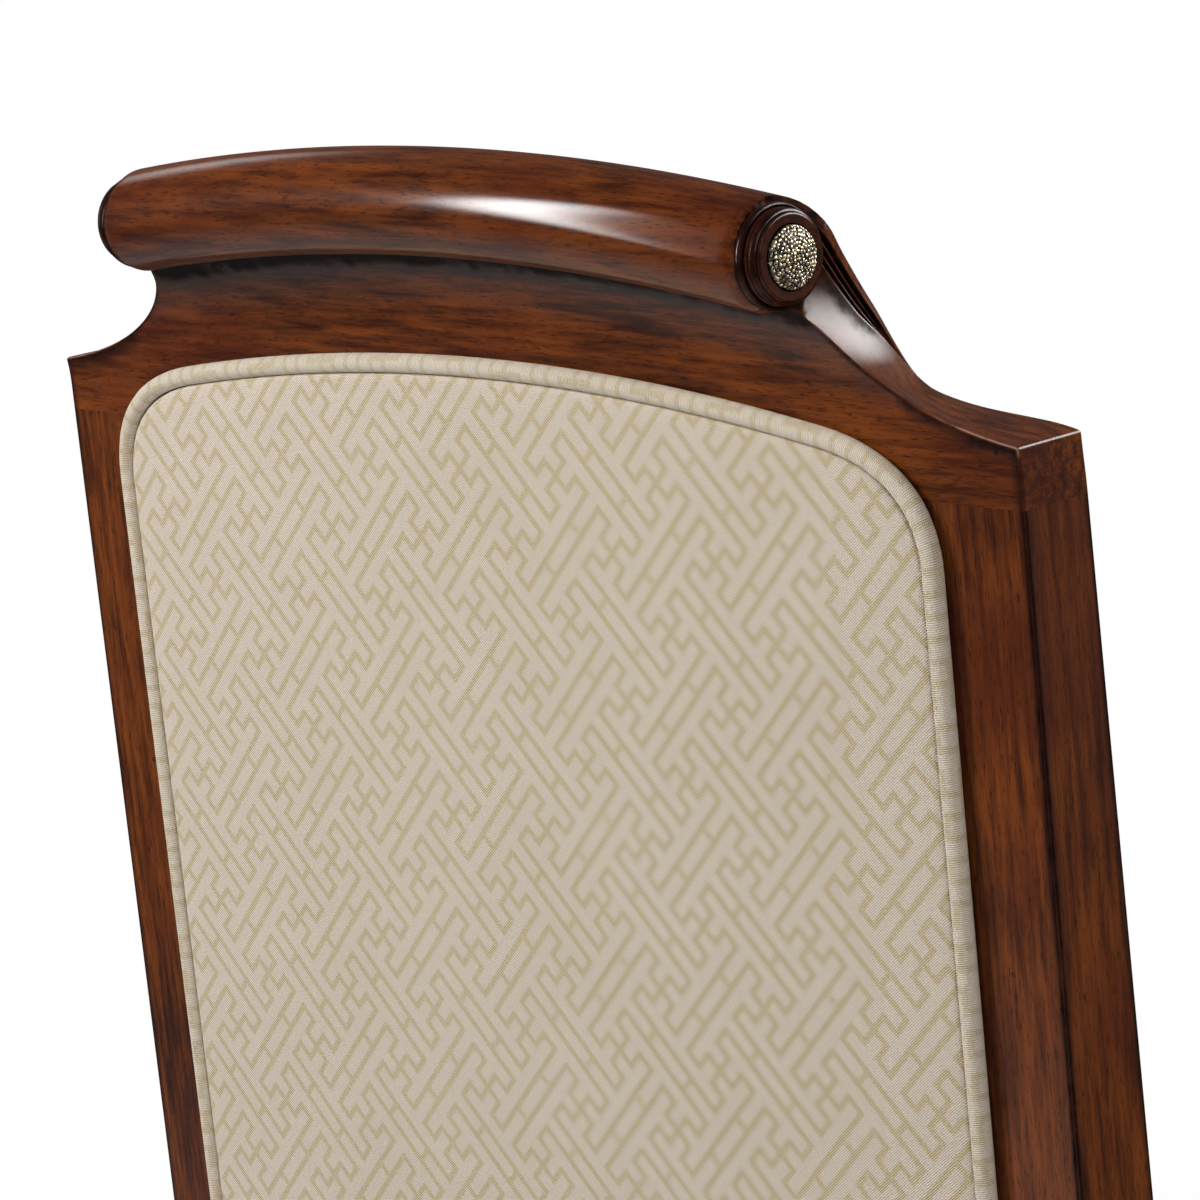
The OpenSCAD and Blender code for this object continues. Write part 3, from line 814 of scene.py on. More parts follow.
@dataclass(frozen=True)
class PlainFinish:
    """A quiet finish for pieces that are mostly hidden."""

    name: str
    first: Colour
    second: Colour
    scale: Tuple[float, float, float]
    rough: float
    metal: float = 0.0
    depth: float = 0.0001

    def make(self) -> Finish:
        """Builds the material.

        Returns:
            The material.
        """
        s = Shading(self.name)
        streak = s.noise(s.place(self.scale), 1.0, 4.0, 0.6)
        colour = s.blend(streak.step(0.3, 0.7), self.first, self.second)
        return s.dress(Base_Color=colour, Metallic=self.metal, Roughness=streak * 0.15 + (self.rough - 0.07),
                       Normal=s.bump(streak, self.depth, 0.5))


# The back's plane


@dataclass
class BackPlane:
    """Where the back's plane lies, read from the CAD crest rail."""

    roll_rise: float = 70.4
    roll_back: float = 16.3
    roll_radius: float = 18.6

    def __post_init__(self) -> None:
        """Works out the plane's origin and its matrix."""
        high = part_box("crest_rail")[1]
        rise, back, radius = (size * MM for size in (self.roll_rise, self.roll_back, self.roll_radius))
        self.y = high.y - rise * math.sin(RAKE) - back * math.cos(RAKE) - radius
        self.z = high.z - rise * math.cos(RAKE) + back * math.sin(RAKE) - radius
        self.matrix = Matrix.Translation((0, self.y, self.z)) @ Matrix.Rotation(-RAKE, 4, "X")

    def at(self, x: float, w: float, v: float) -> Vector:
        """The place in metres of a point across x, out w and up v, in millimetres."""
        return self.matrix @ Vector((x * MM, w * MM, v * MM))


STILE_DEPTH = 29.0
STILE_GROWTH = 0.02
HALF_WIDTH = 250.0
JOINT_DROP = 20.0


def stile_depth(v: float) -> float:
    """The depth of a stile at a height v of the back's plane."""
    return STILE_DEPTH - STILE_GROWTH * v


@dataclass
class CrestRail:
    """The crest rail: an arched barrel roll on a scrolled neck, with cove-cut ears and turned bosses."""

    plane: BackPlane
    arch_radius: float = 1163.0
    neck: float = 168.4
    rim: float = 167.0
    roll_radius: float = 18.6
    flank: float = math.radians(30.0)
    flank_at: Point = (70.0, -11.0)
    hood: float = 33.0
    toe: float = 47.0
    lean_at: float = 18.0
    lean: float = 57.0
    band: float = 3.6
    hollow: float = 12.0
    depth: float = 4.2
    arris: float = 1.3
    ear_levels: int = 22
    neck_levels: int = 30
    joint_levels: int = 10
    columns: int = 64
    hood_points: int = 5
    roll_points: int = 44
    steps: Sequence[float] = (0.0, 1.9, 3.0, 4.2, 6.5)
    roll_ease: float = 1.5
    boss_lift: float = 1.4
    ear_front: Sequence[Point] = ((250, 0), (238.2, 2.0), (207.8, 4.8), (189.2, 8.5), (181, 12.8))
    neck_front: Sequence[Point] = ((181, 12.8), (176.8, 17.4), (172.5, 25), (169.8, 34), (168.6, 45),
                                   (168.4, 66))

    def __post_init__(self) -> None:
        """Works out the arcs of the scroll's profile, as (v, w) at mid width."""
        self.arch_v = self.plane.roll_rise - self.arch_radius
        roll = (self.plane.roll_rise, self.plane.roll_back)
        along = (math.cos(self.flank), math.sin(self.flank))
        inward = (-along[1], along[0])
        off = (roll[0] - self.flank_at[0], roll[1] - self.flank_at[1])
        run = off[0] * along[0] + off[1] * along[1]
        clear = off[0] * inward[0] + off[1] * inward[1]
        run -= math.sqrt((clear - self.roll_radius) * (2 * self.hood - self.roll_radius - clear))
        self.hood_at = tuple(self.flank_at[i] + run * along[i] + self.hood * inward[i] for i in (0, 1))
        self.hood_low = self.hood_at[0] + self.hood * math.sin(self.flank)
        self.hood_end = math.atan2(roll[0] - self.hood_at[0], self.hood_at[1] - roll[1])
        slope = math.tan(self.flank)
        lean = math.atan(STILE_GROWTH)
        meet = (self.flank_at[1] - self.flank_at[0] * slope + STILE_DEPTH) / (STILE_GROWTH - slope)
        reach = self.toe * math.tan((self.flank - lean) / 2)
        start = (meet - reach * math.cos(lean), STILE_GROWTH * meet - STILE_DEPTH - reach * math.sin(lean))
        self.toe_at = (start[0] - self.toe * math.sin(lean), start[1] + self.toe * math.cos(lean))
        self.toe_low = start[0]
        self.toe_high = self.toe_at[0] + self.toe * math.sin(self.flank)
        gap = (self.lean_at - roll[0], self.lean - roll[1])
        far = math.hypot(*gap)
        unit = (gap[0] / far, gap[1] / far)
        a = (far ** 2 + self.roll_radius ** 2 - self.lean ** 2) / (2 * far)
        side = math.sqrt(self.roll_radius ** 2 - a ** 2)
        self.under = (roll[0] + a * unit[0] - side * unit[1], roll[1] + a * unit[1] + side * unit[0])
        self.under_turn = 2 * math.pi + math.atan2(self.under[0] - roll[0], roll[1] - self.under[1])
        self.front, self.rear = self.edges()
        self.starts = (self.insets(self.front, self.front_at), self.insets(self.rear, self.rear_at))

    def front_w(self, v: float) -> float:
        """How far out the sitter's side of the profile is at a height v.

        Args:
            v: the height.

        Returns:
            The way out.
        """
        if v < self.toe_low:
            return -stile_depth(v)
        if v < self.toe_high:
            return self.toe_at[1] - math.sqrt(self.toe ** 2 - (v - self.toe_at[0]) ** 2)
        if v < self.hood_low:
            return self.flank_at[1] + (v - self.flank_at[0]) * math.tan(self.flank)
        return self.hood_at[1] - math.sqrt(max(self.hood ** 2 - (v - self.hood_at[0]) ** 2, 0.0))

    def rear_w(self, v: float) -> float:
        """How far out the rear of the profile is at a height v below the roll.

        Args:
            v: the height.

        Returns:
            The way out.
        """
        if v < self.lean_at:
            return 0.0
        return self.lean - math.sqrt(self.lean ** 2 - (v - self.lean_at) ** 2)

    def mid_v(self, x: float, v: float) -> float:
        """The height at mid width of the arch that passes a point."""
        return self.arch_v + math.hypot(x, v - self.arch_v)

    def front_at(self, x: float, v: float) -> float:
        """How far out the sitter's face is, which meets the stiles at the joint."""
        t = smooth(-JOINT_DROP, 0.0, v)
        return -stile_depth(v) * (1 - t) + self.front_w(self.mid_v(x, v)) * t

    def rear_at(self, x: float, v: float) -> float:
        """How far out the rear face is."""
        return self.rear_w(self.mid_v(x, v))

    @property
    def tip(self) -> int:
        """The number of the last point of an edge that belongs to the ear's rounded tip."""
        return self.joint_levels + len(ROUNDING) - 1

    @property
    def split(self) -> int:
        """The number of the edge point where the ear turns up into the neck."""
        return self.tip + self.ear_levels

    def edges(self) -> Tuple[List[Vector], List[Vector]]:
        """The front and rear edges of the rail's side, from the joint up, as points across, out and up.

        Returns:
            Both edges.
        """
        centre, wide, high, ear_end = (280.0, 50.0), 110.0, 52.0, 203.6
        start = math.acos((centre[0] - HALF_WIDTH) / wide)
        turn = math.acos((centre[0] - ear_end) / wide)
        top = self.under[0] - self.plane.roll_rise + self.roll_end_v()
        end = math.asin((centre[1] - top) / high)

        def cove(first: float, last: float, steps: int) -> List[Point]:
            """Points on the cove's ellipse.

            Args:
                first: the turn where the points start.
                last: the turn where they end.
                steps: how many steps lie between them.

            Returns:
                The points.
            """
            turns = [first + (last - first) * i / steps for i in range(steps + 1)]
            points = [(centre[0] - wide * math.cos(t), centre[1] - high * math.sin(t)) for t in turns]
            return even(points, steps)

        def whole(ear: List[Point], neck: List[Point]) -> List[Point]:
            """An edge with its joint and its rounded tip.

            Args:
                ear: the edge along the ear.
                neck: the edge along the neck.

            Returns:
                The edge's points as (x, v).
            """
            rise = (JOINT_DROP - self.arris) / self.joint_levels
            joint = [(HALF_WIDTH, -JOINT_DROP + rise * i) for i in range(self.joint_levels)]
            tip = Vector((HALF_WIDTH, 0.0))
            along = (Vector(ear[1]) - tip).normalized() * self.arris
            corner = rounded(tip - Vector((0.0, self.arris)), tip, tip + along)
            return joint + [tuple(p) for p in corner] + ear[1:] + neck[1:]

        front = whole(through(self.ear_front, self.ear_levels), through(self.neck_front, self.neck_levels))
        rear = whole(cove(start, turn, self.ear_levels), cove(turn, end, self.neck_levels))
        return ([Vector((x, self.front_at(x, v), v)) for x, v in front],
                [Vector((x, self.rear_at(x, v), v)) for x, v in rear])

    def rounding(self, row: int) -> float:
        """How far an arris is rounded, which dies away under the roll."""
        return self.arris * (1 - smooth(0.8, 0.96, (row - self.split) / self.neck_levels))

    def insets(self, edge: List[Vector], depth: Depth) -> List[Vector]:
        """The points of a face where the rounding of its arris starts.

        Args:
            edge: the arris.
            depth: gives how far out the face is at a point across and up.

        Returns:
            The points.
        """
        result = []
        for i, p in enumerate(edge):
            r = self.rounding(i)
            x, v = HALF_WIDTH - r, min(p.z, -r)
            if i > self.tip:
                way = edge[min(i + 1, len(edge) - 1)] - edge[i - 1]
                way = Vector((way.x, way.z)).normalized()
                x, v = min(p.x - way.y * r, x), p.z + way.x * r
            result.append(Vector((x, depth(x, v), v)))
        return result

    def spread(self, reach: float, arch: float) -> List[float]:
        """Where a row's points are, from side to side.

        Args:
            reach: how far the row reaches from the middle.
            arch: the row's radius about the arch's centre.

        Returns:
            The places across.
        """
        ends = [reach - step for step in self.steps]
        limit = math.asin(min(ends[-1] / arch, 1.0))
        middle = [arch * math.sin(limit * (2 * i / self.columns - 1)) for i in range(1, self.columns)]
        return [-x for x in ends] + middle + ends[::-1]

    def face(self, name: str, edge: List[Vector], depth: Depth) -> Piece:
        """Builds a face from the joint up to the ears and to the foot of the neck.

        Args:
            name: the piece's name.
            edge: the face's edge.
            depth: gives how far out the face is at a point across and up.

        Returns:
            The piece.
        """
        start = edge[self.split]
        insets = self.insets(edge, depth)
        arch = self.mid_v(start.x, start.z) - self.arch_v
        middle = self.spread(start.x, arch)[1:-1]
        outer = [(p.x, p.z) for p in insets[self.tip:self.split + 1]]
        tops = [(-x, v) for x, v in outer]
        tops += [(x, self.arch_v + math.sqrt(arch ** 2 - x ** 2)) for x in middle] + outer[::-1]
        marks: List[float] = []

        def place(row: int, column: int) -> Vector:
            """A point of the face.

            Args:
                row: the row's number.
                column: the point's number in its row.

            Returns:
                The point, in metres.
            """
            x, high = tops[column]
            v = -JOINT_DROP + (high + JOINT_DROP) * row / self.joint_levels
            near = min(smooth(0.5, 6.0, high - v), smooth(0.5, 5.0, HALF_WIDTH - abs(x)))
            marks.append(0.8 * (1 - near) if abs(x) > start.x - 4 else 0.0)
            return self.plane.at(x, depth(x, v), v)

        return stain(sheet(name, self.joint_levels + 1, len(tops), place), marks)

    def roll_end_v(self) -> float:
        """The height of the roll's axis at its ends."""
        return self.arch_v + math.sqrt(self.arch_radius ** 2 - self.neck ** 2)

    def scroll(self) -> Piece:
        """Builds the arched surface from the ears' level up the front, round the roll and down the rear.

        Returns:
            The surface.
        """
        front, rear, front_starts, rear_starts = (
            line[self.split:] for line in (self.front, self.rear, *self.starts))
        top = self.mid_v(front[-1].x, front[-1].z)
        hood_top = self.hood_at[0] + self.hood * math.sin(self.hood_end)
        ring: List[Tuple[float, float, float, float]] = []
        ends: Dict[int, Vector] = {}
        for p, end in zip(front, front_starts):
            ends[len(ring)] = end
            ring.append((self.mid_v(p.x, p.z), p.y, p.x, 0.0))
        for i in range(1, self.hood_points + 1):
            part = i / (self.hood_points + 1)
            v = top + (hood_top - top) * math.sin(math.pi / 2 * part)
            ring.append((v, self.front_w(v), self.neck + (self.rim - self.neck) * part, 0.0))
        for i in range(self.roll_points):
            part = i / (self.roll_points - 1)
            turn = self.hood_end + (self.under_turn - self.hood_end) * part
            round_off = smooth(0.0, 0.25, part) * (1 - 0.7 * smooth(0.9, 1.0, part))
            ring.append((self.plane.roll_rise + self.roll_radius * math.sin(turn),
                         self.plane.roll_back - self.roll_radius * math.cos(turn), self.rim, round_off))
        crease = len(ring)
        for p, end in zip(rear[-2::-1], rear_starts[-2::-1]):
            ends[len(ring)] = end
            ring.append((self.mid_v(p.x, p.z), p.y, p.x, 0.0))
        self.ring = ring
        self.cap_range = (len(front) - 1, len(front) + self.hood_points + self.roll_points)
        rows = [self.spread(reach, v - self.arch_v) for v, _, reach, _ in ring]
        last = len(rows[0]) - 1
        marks: List[float] = []

        def place(row: int, column: int) -> Vector:
            """A point of the scroll's surface.

            Args:
                row: the row's number.
                column: the point's number in its row.

            Returns:
                The point, in metres.
            """
            v, w, reach, round_off = ring[row]
            x = rows[row][column]
            # Painted shade, with some stain, darkens the roll's underside and the rear face below the crease,
            # fading down the face; stain darkens the rear face along the ear's arrises; the roll's rounded
            # ends get a light mark.
            from_end = min(column, last - column)
            below = row - crease + 0.5
            under = 1 - (smooth(1.0, 15.0, below) if below > 0 else smooth(0.0, 4.0, -below))
            edge = 0.85 * (1 - smooth(0.5, 6.0, reach - abs(x))) if row >= crease else 0.0
            marks.append(max(under, edge, 0.12 * round_off, 0.25 * round_off * (from_end == 0)))
            if from_end == 0 and row in ends:
                end = ends[row]
                return self.plane.at(math.copysign(end.x, x), end.y, end.z)
            arch = v - self.arch_v
            inset = self.roll_ease * round_off * (1 - smooth(0.0, 4.2, reach - abs(x)))
            if inset > 0.0:
                centre = (self.plane.roll_rise, self.plane.roll_back)
                far = math.hypot(v - centre[0], w - centre[1])
                w += (centre[1] - w) * inset / far
                arch += (centre[0] - v) * inset / far
            return self.plane.at(x, w, self.arch_v + math.sqrt(arch ** 2 - x ** 2))

        return stain(sheet("crest_rail_wood", len(ring), last + 1, place), marks)

    def side(self, side: Side) -> List[Piece]:
        """Builds one side of the ear and neck: band, reeded hollow, smooth cove and arrises.

        Args:
            side: the chair's side.

        Returns:
            The surfaces.
        """
        front, rear = self.front, self.rear
        vanish, top = self.split, len(front) - 1
        hollow_rows, cove_rows = 24, 9
        columns = 3 + hollow_rows + cove_rows
        marks: List[float] = []

        def point(row: int, column: int) -> Tuple[Vector, float]:
            """A point of the side, from the front arris to the rear one, and its mark, which carries stain,
            painted shade and painted highlight.

            Args:
                row: the level's number.
                column: the point's number in its level.

            Returns:
                The point as across, out and up, and the mark.
            """
            a, b = front[row], rear[row]
            span, rim = (b - a).length, self.rounding(row)
            up = min(max((row - vanish) / (top - vanish), 0.0), 1.0)
            down = min(max((vanish - row) / self.ear_levels, 0.0), 1.0)
            end = smooth(0.0, 0.3, down)
            band = 2.0 + (self.band - 2.0) * max(smooth(0.0, 0.45, up), end)
            edge = band + 0.8 + (self.hollow - self.band - 0.8) * max(smooth(0.0, 0.6, up), end)
            stops = [rim, band * 0.6 + 0.4, band]
            q, mark = -1.0, 0.0
            if column < len(stops):
                reach = stops[column]
                # A darker line along the band's inner edge.
                mark = 0.5 * up * (column == 2)
            elif column < len(stops) + hollow_rows:
                q = (column - len(stops) + 1) / hollow_rows
                reach = band + (edge - band) * q
            else:
                k = ((column - len(stops) - hollow_rows + 1) / cove_rows) ** 1.6
                reach = edge + (span - edge) * k
                if k > 0.8:
                    reach = min(reach, span - 1.9) if k < 1.0 else span - rim
                # Stain darkens the cove near the rear arris; painted shade darkens the top of the cove under
                # the roll and the part of it by the hollow, where the thinner coat also keeps reflections
                # off.
                mark = max(0.3 * (1 - smooth(0.0, 3.0, span - reach)) * smooth(0.0, 0.2, up),
                           0.65 * smooth(0.55, 0.95, up), 0.92 * smooth(0.95, 0.0, k) * smooth(0.05, 0.5, up))
            place = a + (b - a) * (reach / span)
            if q > 0.0 and row >= vanish:
                cut = smooth(0.0, 0.45, up)
                wall = smooth(0.0, 0.14, q) * smooth(1.0, 0.88, q)
                reeds = abs(math.sin(3 * math.pi * q)) ** 0.8
                place = place - Vector((self.depth * cut * wall * (1 - 0.5 * reeds), 0.0, 0.0))
                # Painted shade and stain darken the hollow's grooves; painted highlight lines run on the
                # reeds' crests and, at -0.8, on the arris where the hollow meets the cove.
                mark = cut * (1.0 - 1.5 * smooth(0.93, 1.0, reeds)) if q < 1.0 else -0.8 * cut
            elif reach > edge:
                bulge = math.sin(math.pi * (reach - edge) / (span - edge))
                place = place - Vector((0.7 * bulge * (1 - down), 0.0, 0.5 * bulge * (1 - down)))
            return place, mark

        def carved(row: int, column: int) -> Vector:
            """A point of the carved side in its place.

            Args:
                row: the row's number.
                column: the point's number in its row.

            Returns:
                The point, in metres.
            """
            place, mark = point(row, column)
            marks.append(mark)
            return self.plane.at(side.value * place.x, place.y, place.z)

        pieces = [stain(sheet("crest_side_" + side.word, len(front), columns, carved), marks)]
        ends = ((front, self.starts[0], 0, "front"), (rear, self.starts[1], columns - 1, "rear"))
        for edge, insets, column, name in ends:
            rows = [rounded(insets[i], edge[i], point(i, column)[0]) for i in range(len(edge))]

            def on_arris(row: int, step: int) -> Vector:
                """A point of the rounded arris."""
                p = rows[row][step]
                return self.plane.at(side.value * p.x, p.y, p.z)

            strip = sheet(f"crest_arris_{name}_{side.word}", len(edge), len(ROUNDING), on_arris)
            arris_marks: List[float] = []
            # Dark along each arris; around the ear's tip the middle of the rounding turns pale, as wear and
            # painted highlight.
            for i in range(len(edge)):
                wear_and_glint_level = smooth(self.joint_levels - 2, self.joint_levels, i)
                wear_and_glint_level *= 1 - smooth(self.tip + 10, self.tip + 22, i)
                arris_marks += [0.85, 0.6 - 0.4 * wear_and_glint_level, 0.4 - 1.3 * wear_and_glint_level, 0.2 - 0.4 * wear_and_glint_level, 0.2]
            pieces.append(stain(strip, arris_marks))
        return pieces

    def cap(self, side: Side) -> Piece:
        """Builds the flat end of the roll, which its boss covers, with the start of the hollow.

        Args:
            side: the chair's side.

        Returns:
            The surface.
        """
        first, last = self.cap_range
        outline = self.ring[first:last + 1]
        chord = (self.rear[-1] - self.front[-1]).normalized()
        centre_v = self.roll_end_v()

        def place(row: int, column: int) -> Vector:
            """A point of the cap, from its outline inwards.

            Args:
                row: the row's number.
                column: the point's number in its row.

            Returns:
                The point, in metres.
            """
            v, w, reach, round_off = outline[column]
            off = (v - self.plane.roll_rise, w - self.plane.roll_back)
            inset = self.roll_ease * round_off / math.hypot(*off)
            v, w = v - off[0] * inset, w - off[1] * inset
            v = self.arch_v + math.sqrt((v - self.arch_v) ** 2 - reach ** 2)
            to_centre = Vector((0.0, self.plane.roll_back - w, centre_v - v)).normalized()
            blend_in = smooth(0.0, 6.0, column)
            way = (chord * (1 - blend_in) + to_centre * blend_in).normalized()
            fade = 1 - smooth(0.6, 0.95, column / (len(outline) - 1))
            step = (0.0, self.band * 0.6 + 0.4, self.band, self.band + 1.0)[row]
            x = reach + (way.x * step if column == 0 else 0.0)
            if row == 3:
                x -= self.depth * 0.8 * fade
            return self.plane.at(side.value * x, w + way.y * step, v + way.z * step)

        return stain(sheet("crest_cap_" + side.word, 4, len(outline), place), [0.9] * 4 * len(outline))

    def boss(self, side: Side) -> Piece:
        """Turns the boss on the roll's end: ring, groove, second ring, bead and a flat face.

        Args:
            side: the chair's side.

        Returns:
            The surface.
        """
        turning = [(10.0, -2.0), (16.9, -1.5), (17.1, -0.6), (17.1, 0.6), (16.8, 1.3), (16.3, 1.5),
                   (16.0, 1.1), (15.8, 0.6), (15.6, 0.9), (15.6, 2.2), (15.3, 2.8), (14.9, 3.0),
                   (14.6, 2.6), (14.5, 2.2), (14.8, 2.6), (15.3, 3.2), (15.5, 4.0), (15.4, 4.8),
                   (14.9, 5.4), (14.4, 5.6), (14.1, 5.4), (14.1, 6.1), (13.8, 6.6), (13.2, 6.8),
                   (10.8, 6.8), (10.5, 6.5), (10.4, 5.5), (0.001, 5.5)]
        # The boss is dark all over and darkest in its grooves: stain, and painted shade in the grooves.
        grooves = {0: 1.0, 1: 0.9, 6: 0.7, 7: 1.0, 8: 1.0, 9: 0.5, 12: 0.8, 13: 1.0, 14: 0.9, 15: 0.3,
                   19: 0.7, 20: 1.0, 21: 0.7, 23: 0.5, 24: 0.6, 25: 0.9, 26: 1.0, 27: 1.0}
        around = 96
        centre_v = self.roll_end_v()

        def place(row: int, column: int) -> Vector:
            """A point of the turned boss.

            Args:
                row: the row's number.
                column: the point's number in its row.

            Returns:
                The point, in metres.
            """
            radius, out = turning[row]
            turn = 2 * math.pi * column / (around - 1)
            return self.plane.at(side.value * (self.rim + self.boss_lift + out),
                                 self.plane.roll_back + radius * math.sin(turn),
                                 centre_v + radius * math.cos(turn))

        piece = sheet("crest_boss_" + side.word, len(turning), around, place)
        stain(piece, [grooves.get(row, 0.85) for row in range(len(turning)) for _ in range(around)])
        return weld([piece], fill=True)

    def build(self, finish: Finish) -> None:
        """Builds and dresses the whole rail.

        Args:
            finish: the wood.
        """
        parts = [self.scroll(), self.face("crest_front", self.front, self.front_at),
                 self.face("crest_rear", self.rear, self.rear_at)]
        for side in Side:
            parts += self.side(side) + [self.cap(side)]
        rail = weld(parts, fill=True)
        piece = weld([rail] + [self.boss(side) for side in Side], gap=0.000001)
        shade(piece, 42, weighted=True)
        finish_piece(piece, finish, "mahogany", "crest_rail")


@dataclass
class Rosette:
    """A domed brass rosette of small grains in rings, on the boss."""

    plane: BackPlane
    radius: float = 10.3
    rise: float = 4.9
    rings: int = 8
    grain: float = 0.72
    seat: float = 5.6
    rim_drop: float = 1.2
    crowding: float = 0.92
    in_middle: int = 5
    scatter: Tuple[float, float, float] = (12.9898, 78.233, 43758.5453)

    def build(self, rail: CrestRail, side: Side, finish: Finish) -> None:
        """Builds one rosette.

        Args:
            rail: the crest rail that carries it.
            side: its side of the chair.
            finish: the brass.
        """
        rows, around = 90, 300
        relief: List[float] = []
        base = rail.rim + rail.boss_lift + self.seat
        centre_v = rail.roll_end_v()

        def seed(layer: int, number: int) -> float:
            """A steady number from 0 to 1 for each grain."""
            return (math.sin(layer * self.scatter[0] + number * self.scatter[1]) * self.scatter[2]) % 1.0

        def grains(part: float, turn: float) -> float:
            """How high the grains stand at a place, from 0 to 1.

            Args:
                part: the way from the middle to the rim, from 0 to 1.
                turn: the angle round the middle.

            Returns:
                The height.
            """
            ring = part * self.rings
            layer = math.floor(ring)
            count = round(2 * math.pi * (layer + 0.5) * self.crowding) if layer else self.in_middle
            spin = turn * count / (2 * math.pi) + 0.5 * (layer % 2)
            number = math.floor(spin) % count
            lean = seed(layer, number) - 0.5
            shift = seed(layer + 19, number) - 0.5
            inward = (ring - layer - 0.5 - 0.34 * lean) * 1.1
            off = math.hypot(inward, (spin % 1.0 - 0.5 - 0.4 * shift) * 1.02)
            size = 0.60 - 0.16 * seed(layer + 31, number)
            return math.sqrt(max(1 - (off / size) ** 2, 0.0)) * (1 - 0.5 * seed(layer + 57, number))

        def place(row: int, column: int) -> Vector:
            """A point of the granular dome.

            Args:
                row: the row's number.
                column: the point's number in its row.

            Returns:
                The point, in metres.
            """
            part = row / (rows - 1)
            turn = 2 * math.pi * column / (around - 1)
            radius = self.radius * min(part * 1.02, 1.0) + 0.001
            edge = 1 - smooth(0.94, 1.0, part)
            height = grains(min(part, 0.999), turn % (2 * math.pi)) * edge
            relief.append(height)
            dome = (self.rise - self.grain) * math.sqrt(max(1 - (part * 0.99) ** 2.2, 0.0))
            out = base + (dome + self.grain * height if row < rows - 1 else -self.rim_drop)
            return self.plane.at(side.value * out, self.plane.roll_back + radius * math.sin(turn),
                                 centre_v + radius * math.cos(turn))

        piece = sheet("rosette_brass_" + side.word, rows, around, place)
        mark_points(piece, "relief", relief)
        piece = weld([piece], gap=0.000004, fill=True)
        shade(piece, 70)
        finish_piece(piece, finish, "brass", "rosette_" + side.word)


# Upholstery

WELT_RADIUS = 3.5
WELT_LIFT = 0.3
FORM_REACH = 190.0


@dataclass
class Panel:
    """The outline that both faces of the back's upholstery share, as [across, up] points."""

    half: float = 216.0
    top: float = 14.5
    drop: float = 396.0
    corner: float = 38.0
    corner_top: float = 43.0
    corner_side: float = 33.0
    arch_v: float = -1092.6

    @property
    def middle(self) -> Point:
        """The panel's middle."""
        return (0.0, (self.top - self.drop) / 2)

    def outline(self, inset: float, step: float = 6.0) -> List[Point]:
        """The closed outline, set in from the edge.

        Args:
            inset: how far it is set in.
            step: about how far its points are apart.

        Returns:
            The points, from the middle of the top edge towards +x.
        """
        radius = self.top - self.arch_v - inset
        half, base = self.half - inset, -self.drop + inset

        def on_top(x: float) -> Vector:
            """A point of the arched top edge."""
            return Vector((x, self.arch_v + math.sqrt(radius ** 2 - x ** 2)))

        reach = half - self.corner_top
        right = [on_top(reach * i / 30) for i in range(31)]
        shoulder, foot = on_top(half), Vector((half, base))
        right += bend(right[-1], shoulder, shoulder - Vector((0.0, self.corner_side)), 16)[1:]
        right += bend(foot + Vector((0.0, self.corner)), foot, foot - Vector((self.corner, 0.0)), 16)
        return mirrored(right + [Vector((0.0, base))], step)


def build_welt(name: str, points: Sequence[Point], closed: bool, put: Place, trim: Finish,
               node: str) -> None:
    """Builds a welt: a tube along a line, with its cloth cut on the bias.

    Args:
        name: the piece's name.
        points: the line that it lies on, in millimetres; a closed line's last point is its first.
        closed: True for a closed line.
        put: turns across, up and out into a place in metres.
        trim: its cloth.
        node: the CAD node that it stands for.
    """
    rise, radius, around = WELT_RADIUS + WELT_LIFT, WELT_RADIUS * MM, 17
    path, across, up = [], [], []
    for (x, y), way in zip(points, sideways(points, closed)):
        here = put(x, y, rise)
        path.append(here)
        across.append((put(x + way.x, y + way.y, rise) - here).normalized())
        up.append((put(x, y, rise + 1.0) - here).normalized())
    marks = lengths_along(path)

    def place(row: int, column: int) -> Vector:
        """A point of the tube."""
        turn = 2 * math.pi * column / (around - 1)
        return path[row] + across[row] * radius * math.cos(turn) + up[row] * radius * math.sin(turn)

    def bias(vertex: int, _: Vector, __: Vector) -> Point:
        """The bias-cut cloth's coordinates on the tube.

        Args:
            vertex: the vertex's number.

        Returns:
            The coordinates, in metres of cloth.
        """
        along = marks[vertex // around]
        girth = radius * 2 * math.pi * (vertex % around) / (around - 1)
        return (math.sqrt(0.5) * (along + girth), math.sqrt(0.5) * (along - girth))

    piece = sheet(name, len(path), around, place)
    lay_cloth(piece, bias)
    weld([piece], gap=0.00001, fill=not closed)
    shade(piece, 70)
    finish_piece(piece, trim, "cloth", node)


def crown(start: float, reach: float, low: float, high: float, steps: int, power: float = 2.6) -> List[Point]:
    """The rings of a crown, which rises ever less towards its middle.

    Args:
        start: the inset where it begins.
        reach: the inset of its last ring.
        low: its height where it begins.
        high: its height in the middle.
        steps: how many rings it has.
        power: how soon it levels out.

    Returns:
        Each ring's inset and height.
    """
    parts = [i / steps for i in range(1, steps + 1)]
    return [(start + (reach - start) * t, low + (high - low) * (1 - (1 - t) ** power)) for t in parts]


